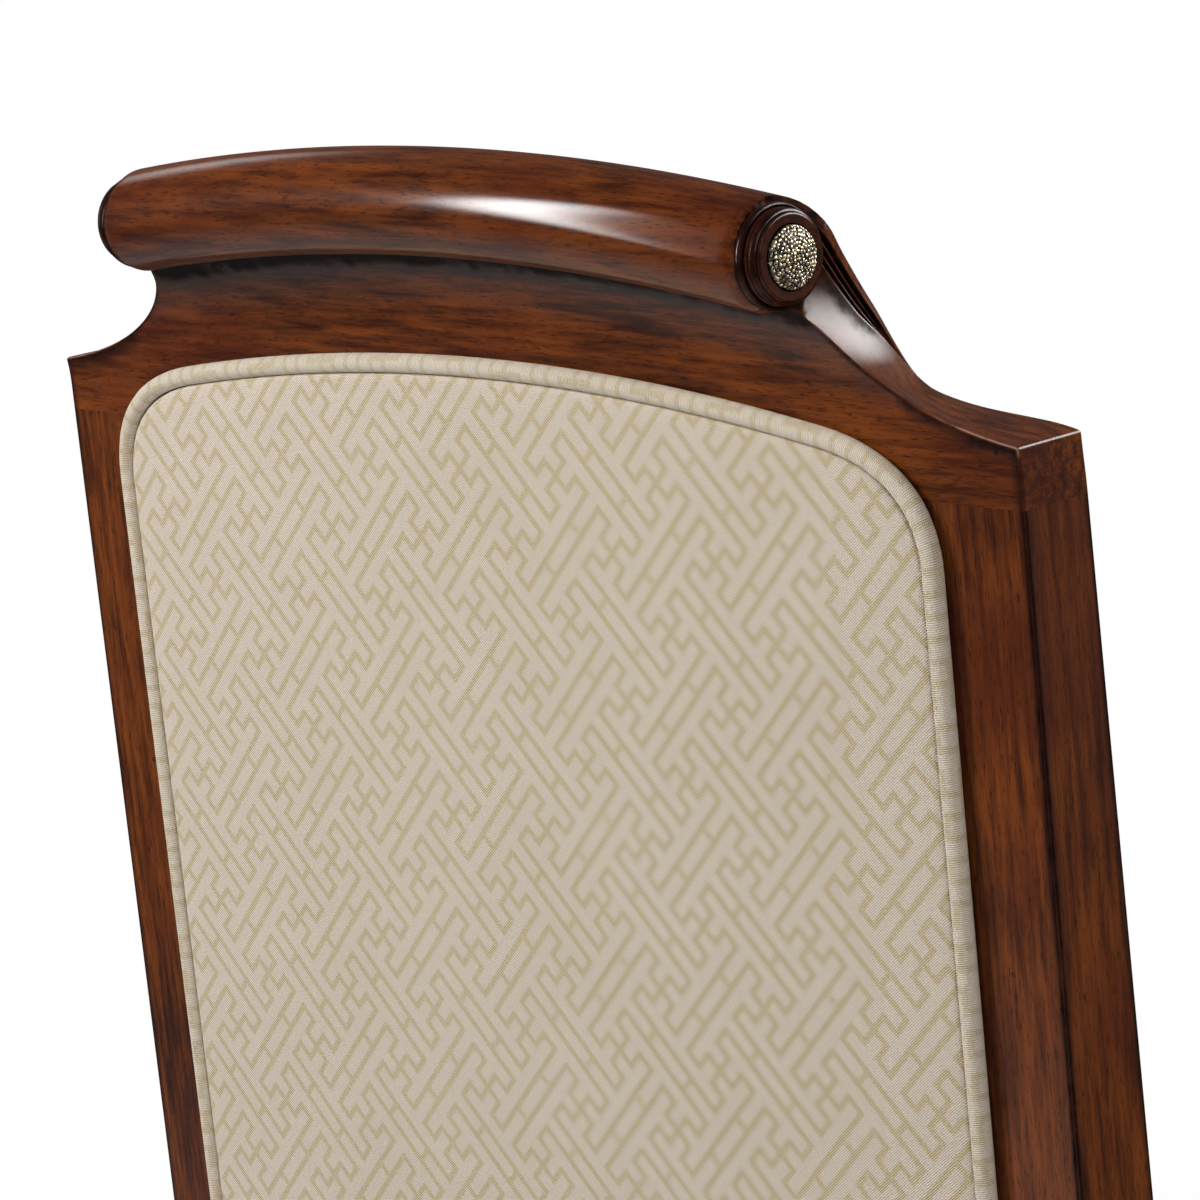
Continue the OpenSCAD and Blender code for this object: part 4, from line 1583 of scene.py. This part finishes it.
def crowned_form(name: str, outline: Sequence[Point], middle: Point, rings: Sequence[Point],
                 put: Place) -> Piece:
    """Builds a closed padded form over an outline.

    Args:
        name: the piece's name.
        outline: its closed outline, the last point on the first.
        middle: the point that its rings close in on.
        rings: each ring's inset in millimetres and its height, from its base up; the last closes.
        put: turns across, up and out into a place in metres.

    Returns:
        The piece.
    """
    reach = min(math.dist(p, middle) for p in outline)
    centre, count = Vector(middle), len(outline) - 1
    ways = sideways(outline, True)
    if (centre - Vector(outline[0])).dot(ways[0]) < 0:
        ways = [-way for way in ways]

    def place(row: int, column: int) -> Vector:
        """A point of the form.

        Args:
            row: the row's number.
            column: the point's number in its row.

        Returns:
            The point, in metres.
        """
        inset, height = rings[row]
        p = Vector(outline[column % count])
        near = p + ways[column] * inset
        far = centre + (p - centre) * (1 - inset / reach)
        t = smooth(0.0, 0.35 * reach, inset)
        q = near * (1 - t) + far * t
        return put(q.x, q.y, height)

    return weld([sheet(name, len(rings), count + 1, place)], fill=True)


def wrap_cloth(piece: Piece, face: int, inverse: Matrix) -> None:
    """Lays cloth flat on a form's broad face and round its sides, and shades the form smooth.

    Args:
        piece: the form.
        face: the axis that its broad face looks along.
        inverse: turns a place into the axes that the cloth follows.
    """
    turn = inverse.to_3x3()
    others = [axis for axis in range(3) if axis != face]

    def wrap(_: int, place: Vector, normal: Vector) -> Point:
        """The place along the two axes that the form doesn't look along there.

        Args:
            place: the vertex's place.
            normal: the face's normal.

        Returns:
            The coordinates, in metres of cloth.
        """
        local, turned = inverse @ place, turn @ normal
        away = face if abs(turned[face]) > 0.6 else max(others, key=lambda axis: abs(turned[axis]))
        return tuple(local[axis] for axis in range(3) if axis != away)

    lay_cloth(piece, wrap)
    pick(piece)
    bpy.ops.object.shade_smooth()


@dataclass
class OutsideBack:
    """The outside back: thin wadding under a taut cover, with a welt round it."""

    plane: BackPlane
    panel: Panel
    base: float = 3.1
    edge: float = 5.7
    crown: float = 8.8

    def put(self, x: float, v: float, out: float) -> Vector:
        """A place on the rear face."""
        return self.plane.at(x, out, v)

    def build(self, cloth: Finish, trim: Finish) -> None:
        """Builds the cover and its welt.

        Args:
            cloth: the cover's cloth.
            trim: the welt's bias-cut cloth.
        """
        outline = self.panel.outline(2 * WELT_RADIUS + 0.05)
        start = 2.6
        rings = [(0.3, self.base), (0.0, self.base + 0.5), (0.0, 4.3), (0.35, 4.9), (1.1, 5.4),
                 (start, self.edge)]
        rings += crown(start, FORM_REACH, self.edge, self.crown, 24)
        piece = crowned_form("outside_back_cloth", outline, self.panel.middle, rings, self.put)
        inverse = self.plane.matrix.inverted()

        def flat(_: int, place: Vector, __: Vector) -> Point:
            """The cloth lies flat on the panel, its pattern seen from behind."""
            local = inverse @ place
            return (-local.x, local.z)

        lay_cloth(piece, flat)
        shade(piece, 60)
        finish_piece(piece, cloth, "cloth", "outside_back_cover", "outside_back_wadding")
        line = self.panel.outline(WELT_RADIUS, 3.0)
        build_welt("outside_back_piping", line, True, self.put, trim, "outside_back_welt")


def plump(piece: Piece, voxel: float, cap: float, height: Callable[[Vector], float],
          hold: float, frames: int = 20, pressure: float = 4.0) -> None:
    """Swells a closed form as stuffed cloth, by a cloth simulation whose result is applied.

    Args:
        piece: the form.
        voxel: the remesh size, in metres.
        cap: the furthest that a point may move, in metres.
        height: gives how far a place stands off the board, in metres.
        hold: how far up from its lowest point the form is tacked, in metres.
        frames: how many frames the simulation runs.
        pressure: how hard the stuffing presses outwards.
    """
    pick(piece)
    piece.data.remesh_voxel_size = voxel
    bpy.ops.object.voxel_remesh()
    start = [v.co.copy() for v in piece.data.vertices]
    pinned = piece.vertex_groups.new(name="tacked")
    top = min(height(place) for place in start) + hold
    pinned.add([i for i, place in enumerate(start) if height(place) < top], 1.0, "REPLACE")
    cloth = piece.modifiers.new("cloth", "CLOTH")
    cloth.settings.use_pressure = True
    cloth.settings.uniform_pressure_force = pressure
    cloth.settings.effector_weights.gravity = 0.0
    cloth.settings.vertex_group_mass = pinned.name
    scene = bpy.context.scene
    for frame in range(1, frames + 1):
        scene.frame_set(frame)
    bpy.ops.object.modifier_apply(modifier=cloth.name)
    scene.frame_set(1)
    piece.vertex_groups.clear()
    for vertex, was in zip(piece.data.vertices, start):
        move = vertex.co - was
        if move.length > cap:
            vertex.co = was + move.normalized() * cap
    fine = piece.modifiers.new("fine", "SUBSURF")
    fine.levels = fine.render_levels = 1
    bpy.ops.object.modifier_apply(modifier=fine.name)


@dataclass
class InsideBack:
    """The inside back cushion, its welt and its cover."""

    plane: BackPlane
    panel: Panel
    board: float = 6.0
    side: float = 16.0
    crown: float = 12.0

    def put(self, x: float, v: float, out: float) -> Vector:
        """A place on the inclined front face.

        Args:
            x: millimetres across.
            v: millimetres up the face.
            out: millimetres in front of it.

        Returns:
            The point, in metres.
        """
        lean = math.atan(STILE_GROWTH)
        return self.plane.at(x, -STILE_DEPTH + v * math.sin(lean) - out * math.cos(lean),
                             v * math.cos(lean) + out * math.sin(lean))

    def on_board(self, x: float, v: float, out: float) -> Vector:
        """A place on the board's face."""
        return self.put(x, v, out + self.board)

    def build(self, cloth: Finish, trim: Finish) -> None:
        """Builds the cushion and its welt.

        Args:
            cloth: the cushion's cloth.
            trim: the welt's bias-cut cloth.
        """
        outline = self.panel.outline(2 * WELT_RADIUS + 1.6)
        base, side, start = self.board + 0.6, self.side, 4.0
        rings = [(2.0, base), (0.6, base + 2), (0.0, base + side * 0.5), (0.8, base + side * 0.8),
                 (start, base + side * 0.97)]
        rings += crown(start, FORM_REACH, base + side, base + side + self.crown, 12)
        piece = crowned_form("inside_back_cloth", outline, self.panel.middle, rings, self.put)
        inverse = self.plane.matrix.inverted()

        def off_board(place: Vector) -> float:
            """How far a place stands off the front face of the stiles, in metres."""
            local = inverse @ place
            return -local.y - stile_depth(local.z / MM) * MM

        plump(piece, voxel=0.006, cap=0.004, height=off_board, hold=0.8 * side * MM)
        wrap_cloth(piece, 1, inverse)
        finish_piece(piece, cloth, "cloth", "inside_back_cover", "inside_back_foam")
        line = self.panel.outline(WELT_RADIUS, 3.0)
        build_welt("inside_back_piping", line, True, self.on_board, trim, "inside_back_welt")


@dataclass
class Seat:
    """The seat cushion with its boxed sides, and the welt along its lower edge."""

    inset: float = 3.0
    corner: float = 24.0
    side: float = 30.0
    notch_gap: float = 4.0
    notch_round: float = 6.0
    back_round: float = 8.0

    def __post_init__(self) -> None:
        """Reads the seat's places from the CAD nodes."""
        self.low, self.high = (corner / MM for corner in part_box("seat_cover"))
        self.rail_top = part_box("front_seat_rail")[1].z / MM
        self.welt_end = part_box("seat_welt")[1].y / MM
        leg_low, leg_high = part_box("back_leg_right")
        self.leg_inner = leg_low.x / MM
        self.back_half = leg_high.x / MM - self.inset
        self.front_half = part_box("front_leg_right")[1].x / MM - self.inset

    def put(self, x: float, y: float, out: float) -> Vector:
        """A place above the rails."""
        return Vector((x, y, self.rail_top + out)) * MM

    def outline(self, inset: float, gap: float) -> List[Point]:
        """The seat's closed outline in plan, notched round the back legs.

        Args:
            inset: how far it is set in.
            gap: how far its notches are set in besides.

        Returns:
            The points, from the middle of the front.
        """
        front, back = self.low.y + inset, self.high.y - inset
        corner = Vector((self.front_half - inset, front))
        notch = Vector((self.leg_inner - self.notch_gap - gap, self.welt_end - 1.0 - gap))
        side = (Vector((self.back_half - inset, back)) - corner).normalized()
        at_notch = corner + side * ((notch.y - front) / side.y)
        in_notch, at_back, r = Vector((self.notch_round, 0.0)), Vector((notch.x, back)), self.back_round
        points = [Vector((0.0, front)), corner - Vector((self.corner, 0.0))]
        points += bend(points[-1], corner, corner + side * self.corner, 10)[1:]
        points += bend(at_notch - side * self.notch_round, at_notch, at_notch - in_notch, 4) + [notch]
        points += bend(at_back - Vector((0.0, r)), at_back, at_back - Vector((r, 0.0)), 4)
        return mirrored(points + [Vector((0.0, back))], 5.0)

    def build(self, cloth: Finish, trim: Finish) -> None:
        """Builds the cushion and its welt.

        Args:
            cloth: the cushion's cloth.
            trim: the welt's bias-cut cloth.
        """
        base, start = self.low.z - self.rail_top + 1.0, 8.0
        edge = base + self.side
        rings = [(7.0, base), (4.6, base + 2.0), (3.0, base + self.side * 0.35),
                 (2.4, base + self.side * 0.65), (3.6, base + self.side * 0.88), (start, edge)]
        rings += crown(start, FORM_REACH + start, edge, self.high.z - self.rail_top - 2.5, 14, 2.3)
        middle = (0.0, (self.low.y + self.high.y) / 2 - 6)
        piece = crowned_form("seat_cloth", self.outline(0.0, 0.0), middle, rings, self.put)
        plump(piece, voxel=0.0065, cap=0.004, height=lambda place: place.z, hold=0.003)
        piece = weld([piece, self.skirt()], gap=0.000001)
        wrap_cloth(piece, 2, Matrix.Identity(4))
        finish_piece(piece, cloth, "cloth", "seat_cover", "seat_foam")
        build_welt("seat_piping", self.welt_line(), False, self.put, trim, "seat_welt")

    def skirt(self) -> Piece:
        """Builds the cloth that turns down round the seat board's edge, where no welt hides it.

        Returns:
            The cloth.
        """
        outer, inner = self.outline(6.3, -1.9), self.outline(7.1, -1.1)
        count = min(len(outer), len(inner)) - 1
        low, high = 0.4, self.low.z - self.rail_top + 3.0
        rings = ((outer, low), (outer, high), (inner, high), (inner, low), (outer, low))

        def place(row: int, column: int) -> Vector:
            """A point of the band."""
            line, out = rings[row]
            return self.put(*line[column % count * (len(line) - 1) // count], out)

        return weld([sheet("seat_skirt", len(rings), count + 1, place)])

    def welt_line(self) -> List[Point]:
        """The line of the welt round the front and sides, open at the back legs.

        Returns:
            The line's points.
        """
        front = self.low.y + WELT_RADIUS
        corner = Vector((self.front_half - WELT_RADIUS, front))
        side = (Vector((self.back_half - WELT_RADIUS, self.high.y)) - corner).normalized()
        stop = corner + side * ((self.welt_end - front) / side.y)
        right = [Vector((0.0, front)), corner - Vector((self.corner, 0.0))]
        right += bend(right[-1], corner, corner + side * self.corner, 12)[1:] + [stop]
        return even([Vector((-p.x, p.y)) for p in reversed(right)] + right[1:], 420)


# Wooden frame

GLIDE_RADIUS = 9.0
RAIL_ARRIS = 0.0012
BLOCK_ARRIS = 0.0008


@dataclass
class BackLeg:
    """A back leg: a swept leg below the seat that runs up as the back's stile."""

    plane: BackPlane
    width: float = 48.0
    foot_width: float = 36.0
    foot_depth: float = 31.0
    arris: float = 1.3
    sweep_steps: int = 36
    stile_steps: int = 24

    def build(self, side: Side, finish: Finish) -> None:
        """Builds one back leg.

        Args:
            side: its side of the chair.
            finish: the wood.
        """
        node = "back_leg_" + side.word
        foot_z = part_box(node)[0].z / MM
        rail_low, rail_high = (corner.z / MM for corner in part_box("front_seat_rail"))
        rear, front = self.lines(foot_z, (rail_low + rail_high) / 2)
        ring = self.section()

        def place(row: int, column: int) -> Vector:
            """A point of the leg, round its section.

            Args:
                row: the row's number.
                column: the point's number in its row.

            Returns:
                The point, in metres.
            """
            a, b = rear[row], front[row]
            z = (a.y + b.y) / 2
            t = min(max((rail_low - z) / (rail_low - foot_z), 0.0), 1.0)
            inner = HALF_WIDTH - self.width + (self.width - self.foot_width) * t
            depth = (b - a).length
            at_x, at_d, off_x, off_d, _ = ring[column]
            x = inner + off_x * self.arris if at_x == 0 else HALF_WIDTH - off_x * self.arris
            d = off_d * self.arris if at_d == 0 else depth - off_d * self.arris
            p = a + (b - a) * (d / depth)
            return Vector((side.value * x, p.x, p.y)) * MM

        piece = sheet("back_leg_wood_" + side.word, len(rear), len(ring), place)
        stain(piece, [part[4] for part in ring] * len(rear))
        weld([piece], fill=True)
        shade(piece, 42, weighted=True)
        finish_piece(piece, finish, "mahogany", node)

    def section(self) -> List[Tuple[int, int, float, float, float]]:
        """The closed section: each point's corner, its ways in from both faces, and its stain.

        Returns:
            The points.
        """
        corner = [(0.0, 3.0, 0.0), (0.0, 1.9, 0.35)]
        corner += [(a, b, mark) for (b, a), mark in zip(ROUNDING, (0.8, 0.9, 0.6, 0.9, 0.8))]
        corner += [(1.9, 0.0, 0.35), (3.0, 0.0, 0.0)]
        ring: List[Tuple[int, int, float, float, float]] = []
        for ends in ((0, 0), (1, 0), (1, 1), (0, 1)):
            turn = corner if ends in ((0, 0), (1, 1)) else [(a, b, mark) for b, a, mark in corner]
            ring += [(*ends, a, b, mark) for a, b, mark in turn]
        return ring + ring[:1]

    def lines(self, foot_z: float, knee_z: float) -> Tuple[List[Vector], List[Vector]]:
        """The leg's rear and front lines as (y, z), from the foot up.

        Args:
            foot_z: the foot's height.
            knee_z: the height where the sweep meets the raked stile.

        Returns:
            Both lines.
        """
        drop = self.plane.z / MM - knee_z
        knee_v = -drop / math.cos(RAKE)
        lean = Vector((-math.tan(RAKE), -1.0)) * ((knee_z - foot_z) / 2)
        knee = Vector((self.plane.y / MM - drop * math.tan(RAKE), knee_z))
        foot = Vector((self.sweep_y(), foot_z))
        toe = foot - Vector((self.foot_depth, 0.0))
        front_knee = self.on_side(-stile_depth(knee_v), knee_v)
        rear = bend(foot, knee + lean, knee, self.sweep_steps)
        front = bend(toe, front_knee + lean, front_knee, self.sweep_steps)
        for i in range(1, self.stile_steps + 1):
            v = knee_v + (-JOINT_DROP - knee_v) * i / self.stile_steps
            rear.append(self.on_side(0.0, v))
            front.append(self.on_side(-stile_depth(v), v))
        return rear, front

    def on_side(self, w: float, v: float) -> Vector:
        """A point of the back's plane as (y, z), in millimetres."""
        point = self.plane.at(0.0, w, v) / MM
        return Vector((point.y, point.z))

    def sweep_y(self) -> float:
        """The rear of a back leg's foot, whose middle is over the glide's."""
        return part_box("glides")[1].y / MM + self.foot_depth / 2 - GLIDE_RADIUS


@dataclass
class FrontLeg:
    """A front leg: a square block over a turned, reeded and tapered shaft."""

    reeds: int = 16
    reed_depth: float = 0.9
    radius: float = 20.0
    ankle: float = 12.0
    toe: float = 46.0
    block: float = 76.0
    arris: float = 1.4
    reed_foot: Point = (62.0, 72.0)
    reed_head: Point = (38.0, 46.0)

    def turning(self, block: float, foot: float) -> List[Point]:
        """The turned outline as (radius, height) from the block down.

        Args:
            block: the height of the block's underside.
            foot: the height of the foot.

        Returns:
            The outline.
        """
        r, a, b = self.radius, self.ankle, 3.0
        drops = [(r - 1, 0.5), (r - 1, -b), (r - 2 * b, -2 * b), (r - 2 * b, -4 * b), (r - b, -5 * b),
                 (r, -6.5 * b), (r - b, -8 * b), (r - 1.6 * b, -9 * b), (r - 0.7 * b, -12 * b),
                 (r - b, -20 * b)]
        rises = [(a, 2 * b), (a - 0.3 * b, 0.0), (a + b, -b), (a + 1.3 * b, -2.5 * b), (a + b, -4 * b),
                 (a - 0.2 * b, -5 * b), (a + 0.6 * b, -9 * b)]
        points = [(radius, block + z) for radius, z in drops]
        return points + [(radius, self.toe + z) for radius, z in rises] + [(a, foot)]

    def build(self, side: Side, finish: Finish) -> None:
        """Builds one front leg.

        Args:
            side: its side of the chair.
            finish: the wood.
        """
        node = "front_leg_" + side.word
        low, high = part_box(node)
        centre = (low + high) / 2
        block_low = high.z - self.block * MM
        deselect()
        bpy.ops.mesh.primitive_cube_add(size=1.0, location=(centre.x, centre.y, (block_low + high.z) / 2))
        block = bpy.context.object
        block.name = block.data.name = "front_leg_wood_" + side.word
        block.scale = (high.x - low.x, high.y - low.y, high.z - block_low)
        bpy.ops.object.transform_apply(location=True, rotation=True, scale=True)
        ease(block, lambda a, b, angle: angle > 60 and min(a.z, b.z) < high.z - MM, self.arris * MM)
        outline = self.turning(block_low / MM, low.z / MM)
        rows = through(outline, 190)
        around = 16 * self.reeds + 1

        def place(row: int, column: int) -> Vector:
            """A point of the turned shaft.

            Args:
                row: the row's number.
                column: the point's number in its row.

            Returns:
                The point, in metres.
            """
            radius, z = rows[row]
            turn = 2 * math.pi * column / (around - 1)
            reeded = smooth(*self.reed_foot, z) * smooth(*self.reed_head, block_low / MM - z)
            groove = 1 - abs(math.sin(turn * self.reeds / 2)) ** 0.7
            radius -= self.reed_depth * reeded * groove
            spoke = Vector((radius * math.cos(turn), radius * math.sin(turn), z)) * MM
            return spoke + Vector((centre.x, centre.y, 0.0))

        shaft = weld([sheet("shaft", len(rows), around, place)], fill=True)
        piece = weld([block, shaft], gap=0.0000001)
        shade(piece, 50, weighted=True)
        finish_piece(piece, finish, "mahogany", node)


def eased_copy(source: Piece, name: str, radius: float, finish: Finish, slot: str) -> None:
    """Copies a CAD piece of wood and eases its arrises.

    Args:
        source: the CAD node.
        name: the copy's name.
        radius: the rounding, in metres.
        finish: the copy's finish.
        slot: the record's material slot.
    """
    deselect()
    piece = source.copy()
    piece.data = source.data.copy()
    piece.name = piece.data.name = name
    bpy.context.collection.objects.link(piece)
    piece.parent = None
    piece.matrix_world = source.matrix_world
    pick(piece)
    bpy.ops.object.transform_apply(location=True, rotation=True, scale=True)
    bpy.ops.object.mode_set(mode="EDIT")
    bpy.ops.mesh.select_all(action="SELECT")
    bpy.ops.mesh.remove_doubles(threshold=0.00002)
    bpy.ops.mesh.dissolve_limited(angle_limit=math.radians(1.0))
    bpy.ops.object.mode_set(mode="OBJECT")
    ease(piece, lambda a, b, angle: angle > 50, radius, 2)
    shade(piece, 50, weighted=True)
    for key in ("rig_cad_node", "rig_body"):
        if key in piece:
            del piece[key]
    finish_piece(piece, finish, slot, source.name)


@dataclass
class DustCover:
    """The black lining cloth under the seat, stretched and slightly slack."""

    sag: float = 3.0
    thick: float = 0.6
    leg_gap: float = 2.0
    back_gap: float = 4.0
    turned: float = 30.0
    lines: int = 40

    def build(self, finish: Finish) -> None:
        """Builds the lining.

        Args:
            finish: the lining cloth.
        """
        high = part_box("dust_cover")[1]
        leg_low, leg_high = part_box("front_leg_right")
        inner = leg_low.x - self.leg_gap * MM
        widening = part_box("back_leg_right")[0].x - self.back_gap * MM - inner
        front_clear = leg_high.y + self.leg_gap * MM
        start = front_clear - self.turned * MM

        def place(row: int, column: int) -> Vector:
            """A point of the lining.

            Args:
                row: the row's number.
                column: the point's number in its row.

            Returns:
                The point, in metres.
            """
            s, t = column / (self.lines - 1) * 2 - 1, row / (self.lines - 1)
            dip = self.sag * MM * (1 - s ** 4) * (1 - (2 * t - 1) ** 4)
            return Vector((s * (inner + widening * t), start + (high.y - start) * t, high.z - 0.2 * MM - dip))

        piece = sheet("dust_cover_cloth", self.lines, self.lines, place)
        pick(piece)
        thick = piece.modifiers.new("thick", "SOLIDIFY")
        thick.thickness = self.thick * MM
        thick.offset = 0.0
        bpy.ops.object.modifier_apply(modifier=thick.name)
        shade(piece, 60)
        finish_piece(piece, finish, "black_cloth", "dust_cover")


# Studio


class Use(Enum):
    """What a light is for: lighting the chair, showing in its polish and metal, or both."""

    BOTH = "both"
    LIGHT = "light"
    GLEAM = "gleam"


@dataclass(frozen=True)
class Softbox:
    """A soft light, by its direction and distance from the crest rail."""

    name: str
    azimuth: float
    elevation: float
    distance: float
    size: Point
    power: float
    use: Use = Use.BOTH

    def build(self, goal: Vector) -> None:
        """Adds the light, aimed at a point.

        Args:
            goal: the point.
        """
        a, e = math.radians(self.azimuth), math.radians(self.elevation)
        way = Vector((math.sin(a) * math.cos(e), -math.cos(a) * math.cos(e), math.sin(e)))
        data = bpy.data.lights.new(self.name, "AREA")
        data.shape = "ELLIPSE" if self.use is Use.GLEAM else "RECTANGLE"
        data.size, data.size_y = self.size
        data.energy = self.power
        light = bpy.data.objects.new(self.name, data)
        bpy.context.collection.objects.link(light)
        light.location = goal + way * self.distance
        light.rotation_euler = (-way).to_track_quat("-Z", "Y").to_euler()
        if self.use is Use.GLEAM:
            self.soften(data)
        light.visible_diffuse = self.use is not Use.GLEAM
        light.visible_glossy = self.use is not Use.LIGHT

    @staticmethod
    def soften(data: bpy.types.AreaLight) -> None:
        """Lets a light fade out towards its edge.

        Args:
            data: the light's data.
        """
        tree = Tree.emptied(data)
        place = tree.node("NewGeometry", {}, {}, "Parametric")
        off = tree.node("VectorMath", {"operation": "SUBTRACT"}, {0: place, 1: (0.5, 0.5, 0.0)})
        reach = tree.node("VectorMath", {"operation": "DOT_PRODUCT"}, {0: off, 1: off}, "Value")
        fade = (1.0 - reach * 4.0).most(0.0)
        shine = tree.node("Emission", {}, {"Strength": fade * fade})
        tree.plug(tree.tree.nodes.new("ShaderNodeOutputLight"), {0: shine})


@dataclass
class Studio:
    """Floor, world, lights and the camera at the photograph's view."""

    place: Tuple[float, float, float] = (-1.20058, 1.26070, 1.06685)
    turn: Tuple[float, float, float] = (83.0302, -0.2932, -131.5641)
    lens: float = 137.40
    goal: Tuple[float, float, float] = (0.0, 0.26, 0.95)
    floor_size: float = 16.0
    grey: float = 0.10
    floor_gleam: float = 0.12
    floor_fade: Point = (0.9, 2.6)
    rays: Sequence[str] = ("Is Camera Ray", "Is Glossy Ray", "Is Transmission Ray")

    def build(self) -> None:
        """Builds the studio."""
        self.floor()
        self.world()
        for light in (Softbox("strip", 133.5, 9.0, 2.2, (0.23, 1.9), 62.0, Use.GLEAM),
                      Softbox("key", 150.0, 29.0, 1.8, (0.7, 0.7), 32.0, Use.LIGHT),
                      Softbox("fill", 250.0, 20.0, 2.8, (1.4, 1.4), 22.0),
                      Softbox("rim", 77.0, 28.0, 2.6, (1.3, 0.6), 5.0, Use.GLEAM),
                      Softbox("patch", 322.0, 36.0, 2.4, (4.6, 2.2), 540.0, Use.GLEAM),
                      Softbox("low_card", 306.0, -6.0, 2.6, (1.4, 1.4), 1.2, Use.GLEAM),
                      Softbox("left_front", 330.0, 40.0, 2.8, (1.8, 1.8), 28.0, Use.LIGHT),
                      Softbox("right_front", 22.0, 42.0, 2.8, (1.8, 1.8), 36.0, Use.LIGHT)):
            light.build(Vector(self.goal))
        data = bpy.data.cameras.new("camera")
        data.lens = self.lens
        camera = bpy.data.objects.new("camera", data)
        bpy.context.collection.objects.link(camera)
        camera.location = self.place
        camera.rotation_euler = tuple(math.radians(angle) for angle in self.turn)
        bpy.context.scene.camera = camera
        bpy.context.scene.view_settings.view_transform = "Standard"

    def floor(self) -> None:
        """Adds the pale floor, which away from the chair is plain white to the camera."""
        deselect()
        bpy.ops.mesh.primitive_plane_add(size=self.floor_size)
        floor = bpy.context.object
        floor.name = "floor"
        s = Shading("pale_floor")
        camera, gloss, glass = s.outputs("LightPath", {}, *self.rays)
        x, y, _ = s.parts(s.place())
        square = x * x + y * y
        far = square.maths("SQRT", square).step(*self.floor_fade)
        s.dress(Base_Color=(0.82, 0.82, 0.82), Roughness=0.6)
        shown = s.blend(gloss, (1.0, 1.0, 1.0), [self.floor_gleam] * 3)
        white = s.node("Emission", {}, {"Color": shown, "Strength": 1.0})
        seen = (camera + gloss + glass).least(1.0)
        mixed = s.node("MixShader", {}, {0: seen * far, 1: Wire(s, s.shader.outputs[0]), 2: white})
        s.plug(s.output, {"Surface": mixed})
        floor.data.materials.append(s.material)

    def world(self) -> None:
        """Makes the world white to the camera and a plain grey light to the chair."""
        world = bpy.context.scene.world or bpy.data.worlds.new("world")
        bpy.context.scene.world = world
        tree = Tree.emptied(world)
        camera, gloss, glass = tree.outputs("LightPath", {}, *self.rays)
        light = (gloss * self.grey + camera.most(glass)).most(self.grey)
        back = tree.node("Background", {}, {"Color": (1.0, 1.0, 1.0), "Strength": light})
        tree.plug(tree.tree.nodes.new("ShaderNodeOutputWorld"), {"Surface": back})


def dress_hidden(nodes: Dict[str, Piece]) -> None:
    """Gives the CAD nodes that stay as they are their finishes.

    Args:
        nodes: the CAD nodes by name.
    """
    beech = PlainFinish("beech", srgb(196, 160, 118), srgb(222, 190, 150), (12.0, 260.0, 260.0), 0.55)
    ply = PlainFinish("birch_ply", srgb(202, 172, 128), srgb(222, 196, 156), (14.0, 90.0, 900.0), 0.6)
    steel = PlainFinish("zinc_steel", srgb(150, 152, 155), srgb(188, 190, 192), (700.0, 700.0, 90.0), 0.35,
                        metal=1.0)
    # A near-black finish on the back boards, a painted shadow in the gap by the welts.
    shadow_dark_finish = PlainFinish("stained_board", srgb(20, 12, 9), srgb(34, 20, 14), (14.0, 90.0, 900.0), 0.6)
    finishes = {beech: ("crest_dowels", "lower_rail_dowels"), ply: ("seat_board",),
                shadow_dark_finish: ("outside_back_board", "inside_back_board"),
                steel: ("inside_back_screws", "corner_block_screws", "seat_board_screws", "glides")}
    for plain, names in finishes.items():
        finish = plain.make()
        for name in names:
            nodes[name].data.materials.clear()
            nodes[name].data.materials.append(finish)
            log.info("%s: %s", name, finish.name)


def main() -> None:
    """Builds every sub-assembly in order."""
    logging.basicConfig(level=logging.INFO, format="%(name)s %(message)s")
    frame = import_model()
    nodes = frame["nodes"]
    plane = BackPlane()
    across = Mahogany("mahogany_crest", Grain.ACROSS, RAKE).make()
    upright = Mahogany("mahogany_upright", Grain.UPRIGHT, RAKE).make()
    rails = Mahogany("mahogany_rails", Grain.ACROSS).make()
    sides = Mahogany("mahogany_sides", Grain.FORE_AND_AFT).make()
    turned = Mahogany("mahogany_turned", Grain.UPRIGHT).make()
    cloth = KeyFret().make()
    trim = KeyFret("bias_cloth", ground=srgb(214, 201, 180), strength=0.7, bias=True).make()
    brass = AntiqueBrass().make()
    lining = PlainFinish("black_lining", srgb(20, 20, 21), srgb(38, 38, 40), (900.0, 900.0, 900.0), 0.9)
    beech = PlainFinish("beech_block", srgb(190, 152, 110), srgb(218, 186, 146), (220.0, 16.0, 220.0), 0.55)
    block_finish = beech.make()
    rail = CrestRail(plane)
    rail.build(across)
    for side in Side:
        Rosette(plane).build(rail, side, brass)
        BackLeg(plane).build(side, upright)
        FrontLeg().build(side, turned)
        node = nodes["side_seat_rail_" + side.word]
        eased_copy(node, "side_rail_wood_" + side.word, RAIL_ARRIS, sides, "mahogany")
        for end in ("front", "back"):
            node = nodes[f"corner_block_{end}_{side.word}"]
            eased_copy(node, f"block_wood_{end}_{side.word}", BLOCK_ARRIS, block_finish, "beech")
    for node, name in (("front_seat_rail", "front_rail_wood"), ("back_seat_rail", "back_rail_wood"),
                       ("lower_back_rail", "lower_rail_wood")):
        eased_copy(nodes[node], name, RAIL_ARRIS, rails, "mahogany")
    panel = Panel()
    OutsideBack(plane, panel).build(cloth, trim)
    InsideBack(plane, panel).build(cloth, trim)
    Seat().build(cloth, trim)
    DustCover().build(lining.make())
    dress_hidden(nodes)
    Studio().build()


if __name__ == "__main__":
    main()
